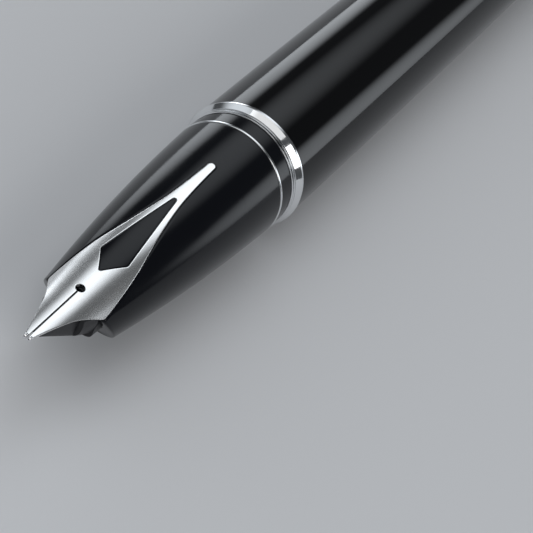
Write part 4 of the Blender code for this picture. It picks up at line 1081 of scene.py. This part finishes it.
rod_shape = spun([
    (rod_front, 0.0), (rod_front, ROD_RADIUS),
    *[(screw_front + (screw_rear - screw_front) * step / SCREW_STEPS, ROD_RADIUS)
      for step in range(SCREW_STEPS + 1)],
    (rod_rear, ROD_RADIUS), (rod_rear, 0.0),
], closed=False, steps=48, edge=0.1)
cut_thread(
    rod_shape, screw_front, screw_rear, ROD_RADIUS, SCREW_DEPTH,
    pitch=SCREW_LEAD / THREAD_STARTS, ease=0.6)
rod = finished("piston_rod", rod_shape, dark_plastic, "piston", "converter_piston_rod")

ball_low, ball_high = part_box("agitator_ball")
ball_shape = bmesh.new()
bmesh.ops.create_icosphere(
    ball_shape, subdivisions=4, radius=(ball_high.z - ball_low.z) / 2,
    matrix=Matrix.Translation((ball_low + ball_high) / 2))
ball = finished("ink_ball", ball_shape, steel, "ball", "agitator_ball")


# ---- Studio: a plain pale floor that the pen's widest ring rests on, and a dim room that
# glows softly in four places.  One soft box hangs overhead and one stands beside the pen.
floor_material, nodes, links, shader = new_material("pale_floor", (0.70, 0.71, 0.73), 0.0, 0.75)
shader.inputs["Specular IOR Level"].default_value = 0.1
FLOOR_SIZE = 8.0
floor_shape = bmesh.new()
bmesh.ops.create_grid(floor_shape, x_segments=2, y_segments=2, size=FLOOR_SIZE / 2)
floor_mesh = bpy.data.meshes.new("floor")
floor_shape.to_mesh(floor_mesh)
floor_shape.free()
floor_mesh.materials.append(floor_material)
floor = bpy.data.objects.new("floor", floor_mesh)
floor.location = (0.0, 0.0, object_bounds()[0].z)
bpy.context.scene.collection.objects.link(floor)

world = bpy.data.worlds.new("dim_room")
world.use_nodes = True
world_nodes, world_links = world.node_tree.nodes, world.node_tree.links
background = world_nodes["Background"]
background.inputs["Color"].default_value = (0.90, 0.95, 1.0, 1.0)
bpy.context.scene.world = world


def towards(azimuth, elevation):
    """A direction from its azimuth, from +X towards +Y, and its elevation in degrees."""
    flat, up = math.radians(azimuth), math.radians(elevation)
    return Vector((math.cos(up) * math.cos(flat), math.cos(up) * math.sin(flat), math.sin(up)))


ROOM_STRENGTH = 0.08
sight = world_nodes.new("ShaderNodeTexCoord")
glow = None
GLOWS = (                 # azimuth, elevation, reach in degrees, and strength
    (11, 53, 28, 1.4), (42, 6, 18, 3.0), (-42, 8, 15, 2.4), (97, 38, 32, 0.8))
for azimuth, elevation, reach, strength in GLOWS:
    nearness = world_nodes.new("ShaderNodeVectorMath")
    nearness.operation = "DOT_PRODUCT"
    nearness.inputs[1].default_value = towards(azimuth, elevation)
    lobe = world_nodes.new("ShaderNodeMapRange")
    lobe.interpolation_type = "SMOOTHSTEP"
    lobe.inputs["From Min"].default_value = math.cos(math.radians(reach))
    lobe.inputs["To Max"].default_value = strength
    world_links.new(sight.outputs["Generated"], nearness.inputs[0])
    world_links.new(nearness.outputs["Value"], lobe.inputs["Value"])
    total = world_nodes.new("ShaderNodeMath")
    total.inputs[0].default_value = ROOM_STRENGTH
    if glow:
        world_links.new(glow, total.inputs[0])
    world_links.new(lobe.outputs["Result"], total.inputs[1])
    glow = total.outputs[0]
world_links.new(glow, background.inputs["Strength"])

LIT_POINT = Vector((NIB_POINT + 20 * MM, 0.0, AXIS_HEIGHT))


def soft_box(name, azimuth, elevation, distance, width, height, radiance):
    """A rectangular light that faces the nib and is as bright as its radiance."""
    data = bpy.data.lights.new(name, "AREA")
    data.shape = "RECTANGLE"
    data.size, data.size_y = width, height
    data.energy = radiance * math.pi * width * height
    light = bpy.data.objects.new(name, data)
    way = towards(azimuth, elevation)
    light.location = LIT_POINT + way * distance
    light.rotation_euler = way.to_track_quat("Z", "Y").to_euler()
    light.visible_camera = False
    bpy.context.scene.collection.objects.link(light)


soft_box("over_head", 160, 72, 0.8, 0.9, 0.8, 0.85)
soft_box("side", -106, 34, 1.0, 0.8, 0.6, 2.1)
bpy.context.scene.view_settings.view_transform = "Standard"


# ---- Camera: close to the nib, above it and to its side, looking along the pen.
RING_REAR = Vector((NIB_POINT + 37.8 * MM, 0.0, AXIS_HEIGHT))
CAMERA_OFFSET = Vector((-173.22, -47.56, 148.01)) * MM
FORWARD = Vector((0.7302, 0.1726, -0.6611)).normalized()
SENSOR = 36.0
FOCAL_SHARE = 2434 / 533     # of the sensor's width
camera_data = bpy.data.cameras.new("camera")
camera_data.sensor_width = SENSOR
camera_data.lens = SENSOR * FOCAL_SHARE
camera_data.clip_start, camera_data.clip_end = 0.01, 10.0
camera = bpy.data.objects.new("camera", camera_data)
right = Vector((0.498, -0.7968, 0.3421))
right = (right - FORWARD * right.dot(FORWARD)).normalized()
down = FORWARD.cross(right)
camera.matrix_world = Matrix.Translation(RING_REAR + CAMERA_OFFSET) @ Matrix(
    (right, -down, -FORWARD)).transposed().to_4x4()
bpy.context.scene.collection.objects.link(camera)
bpy.context.scene.camera = camera
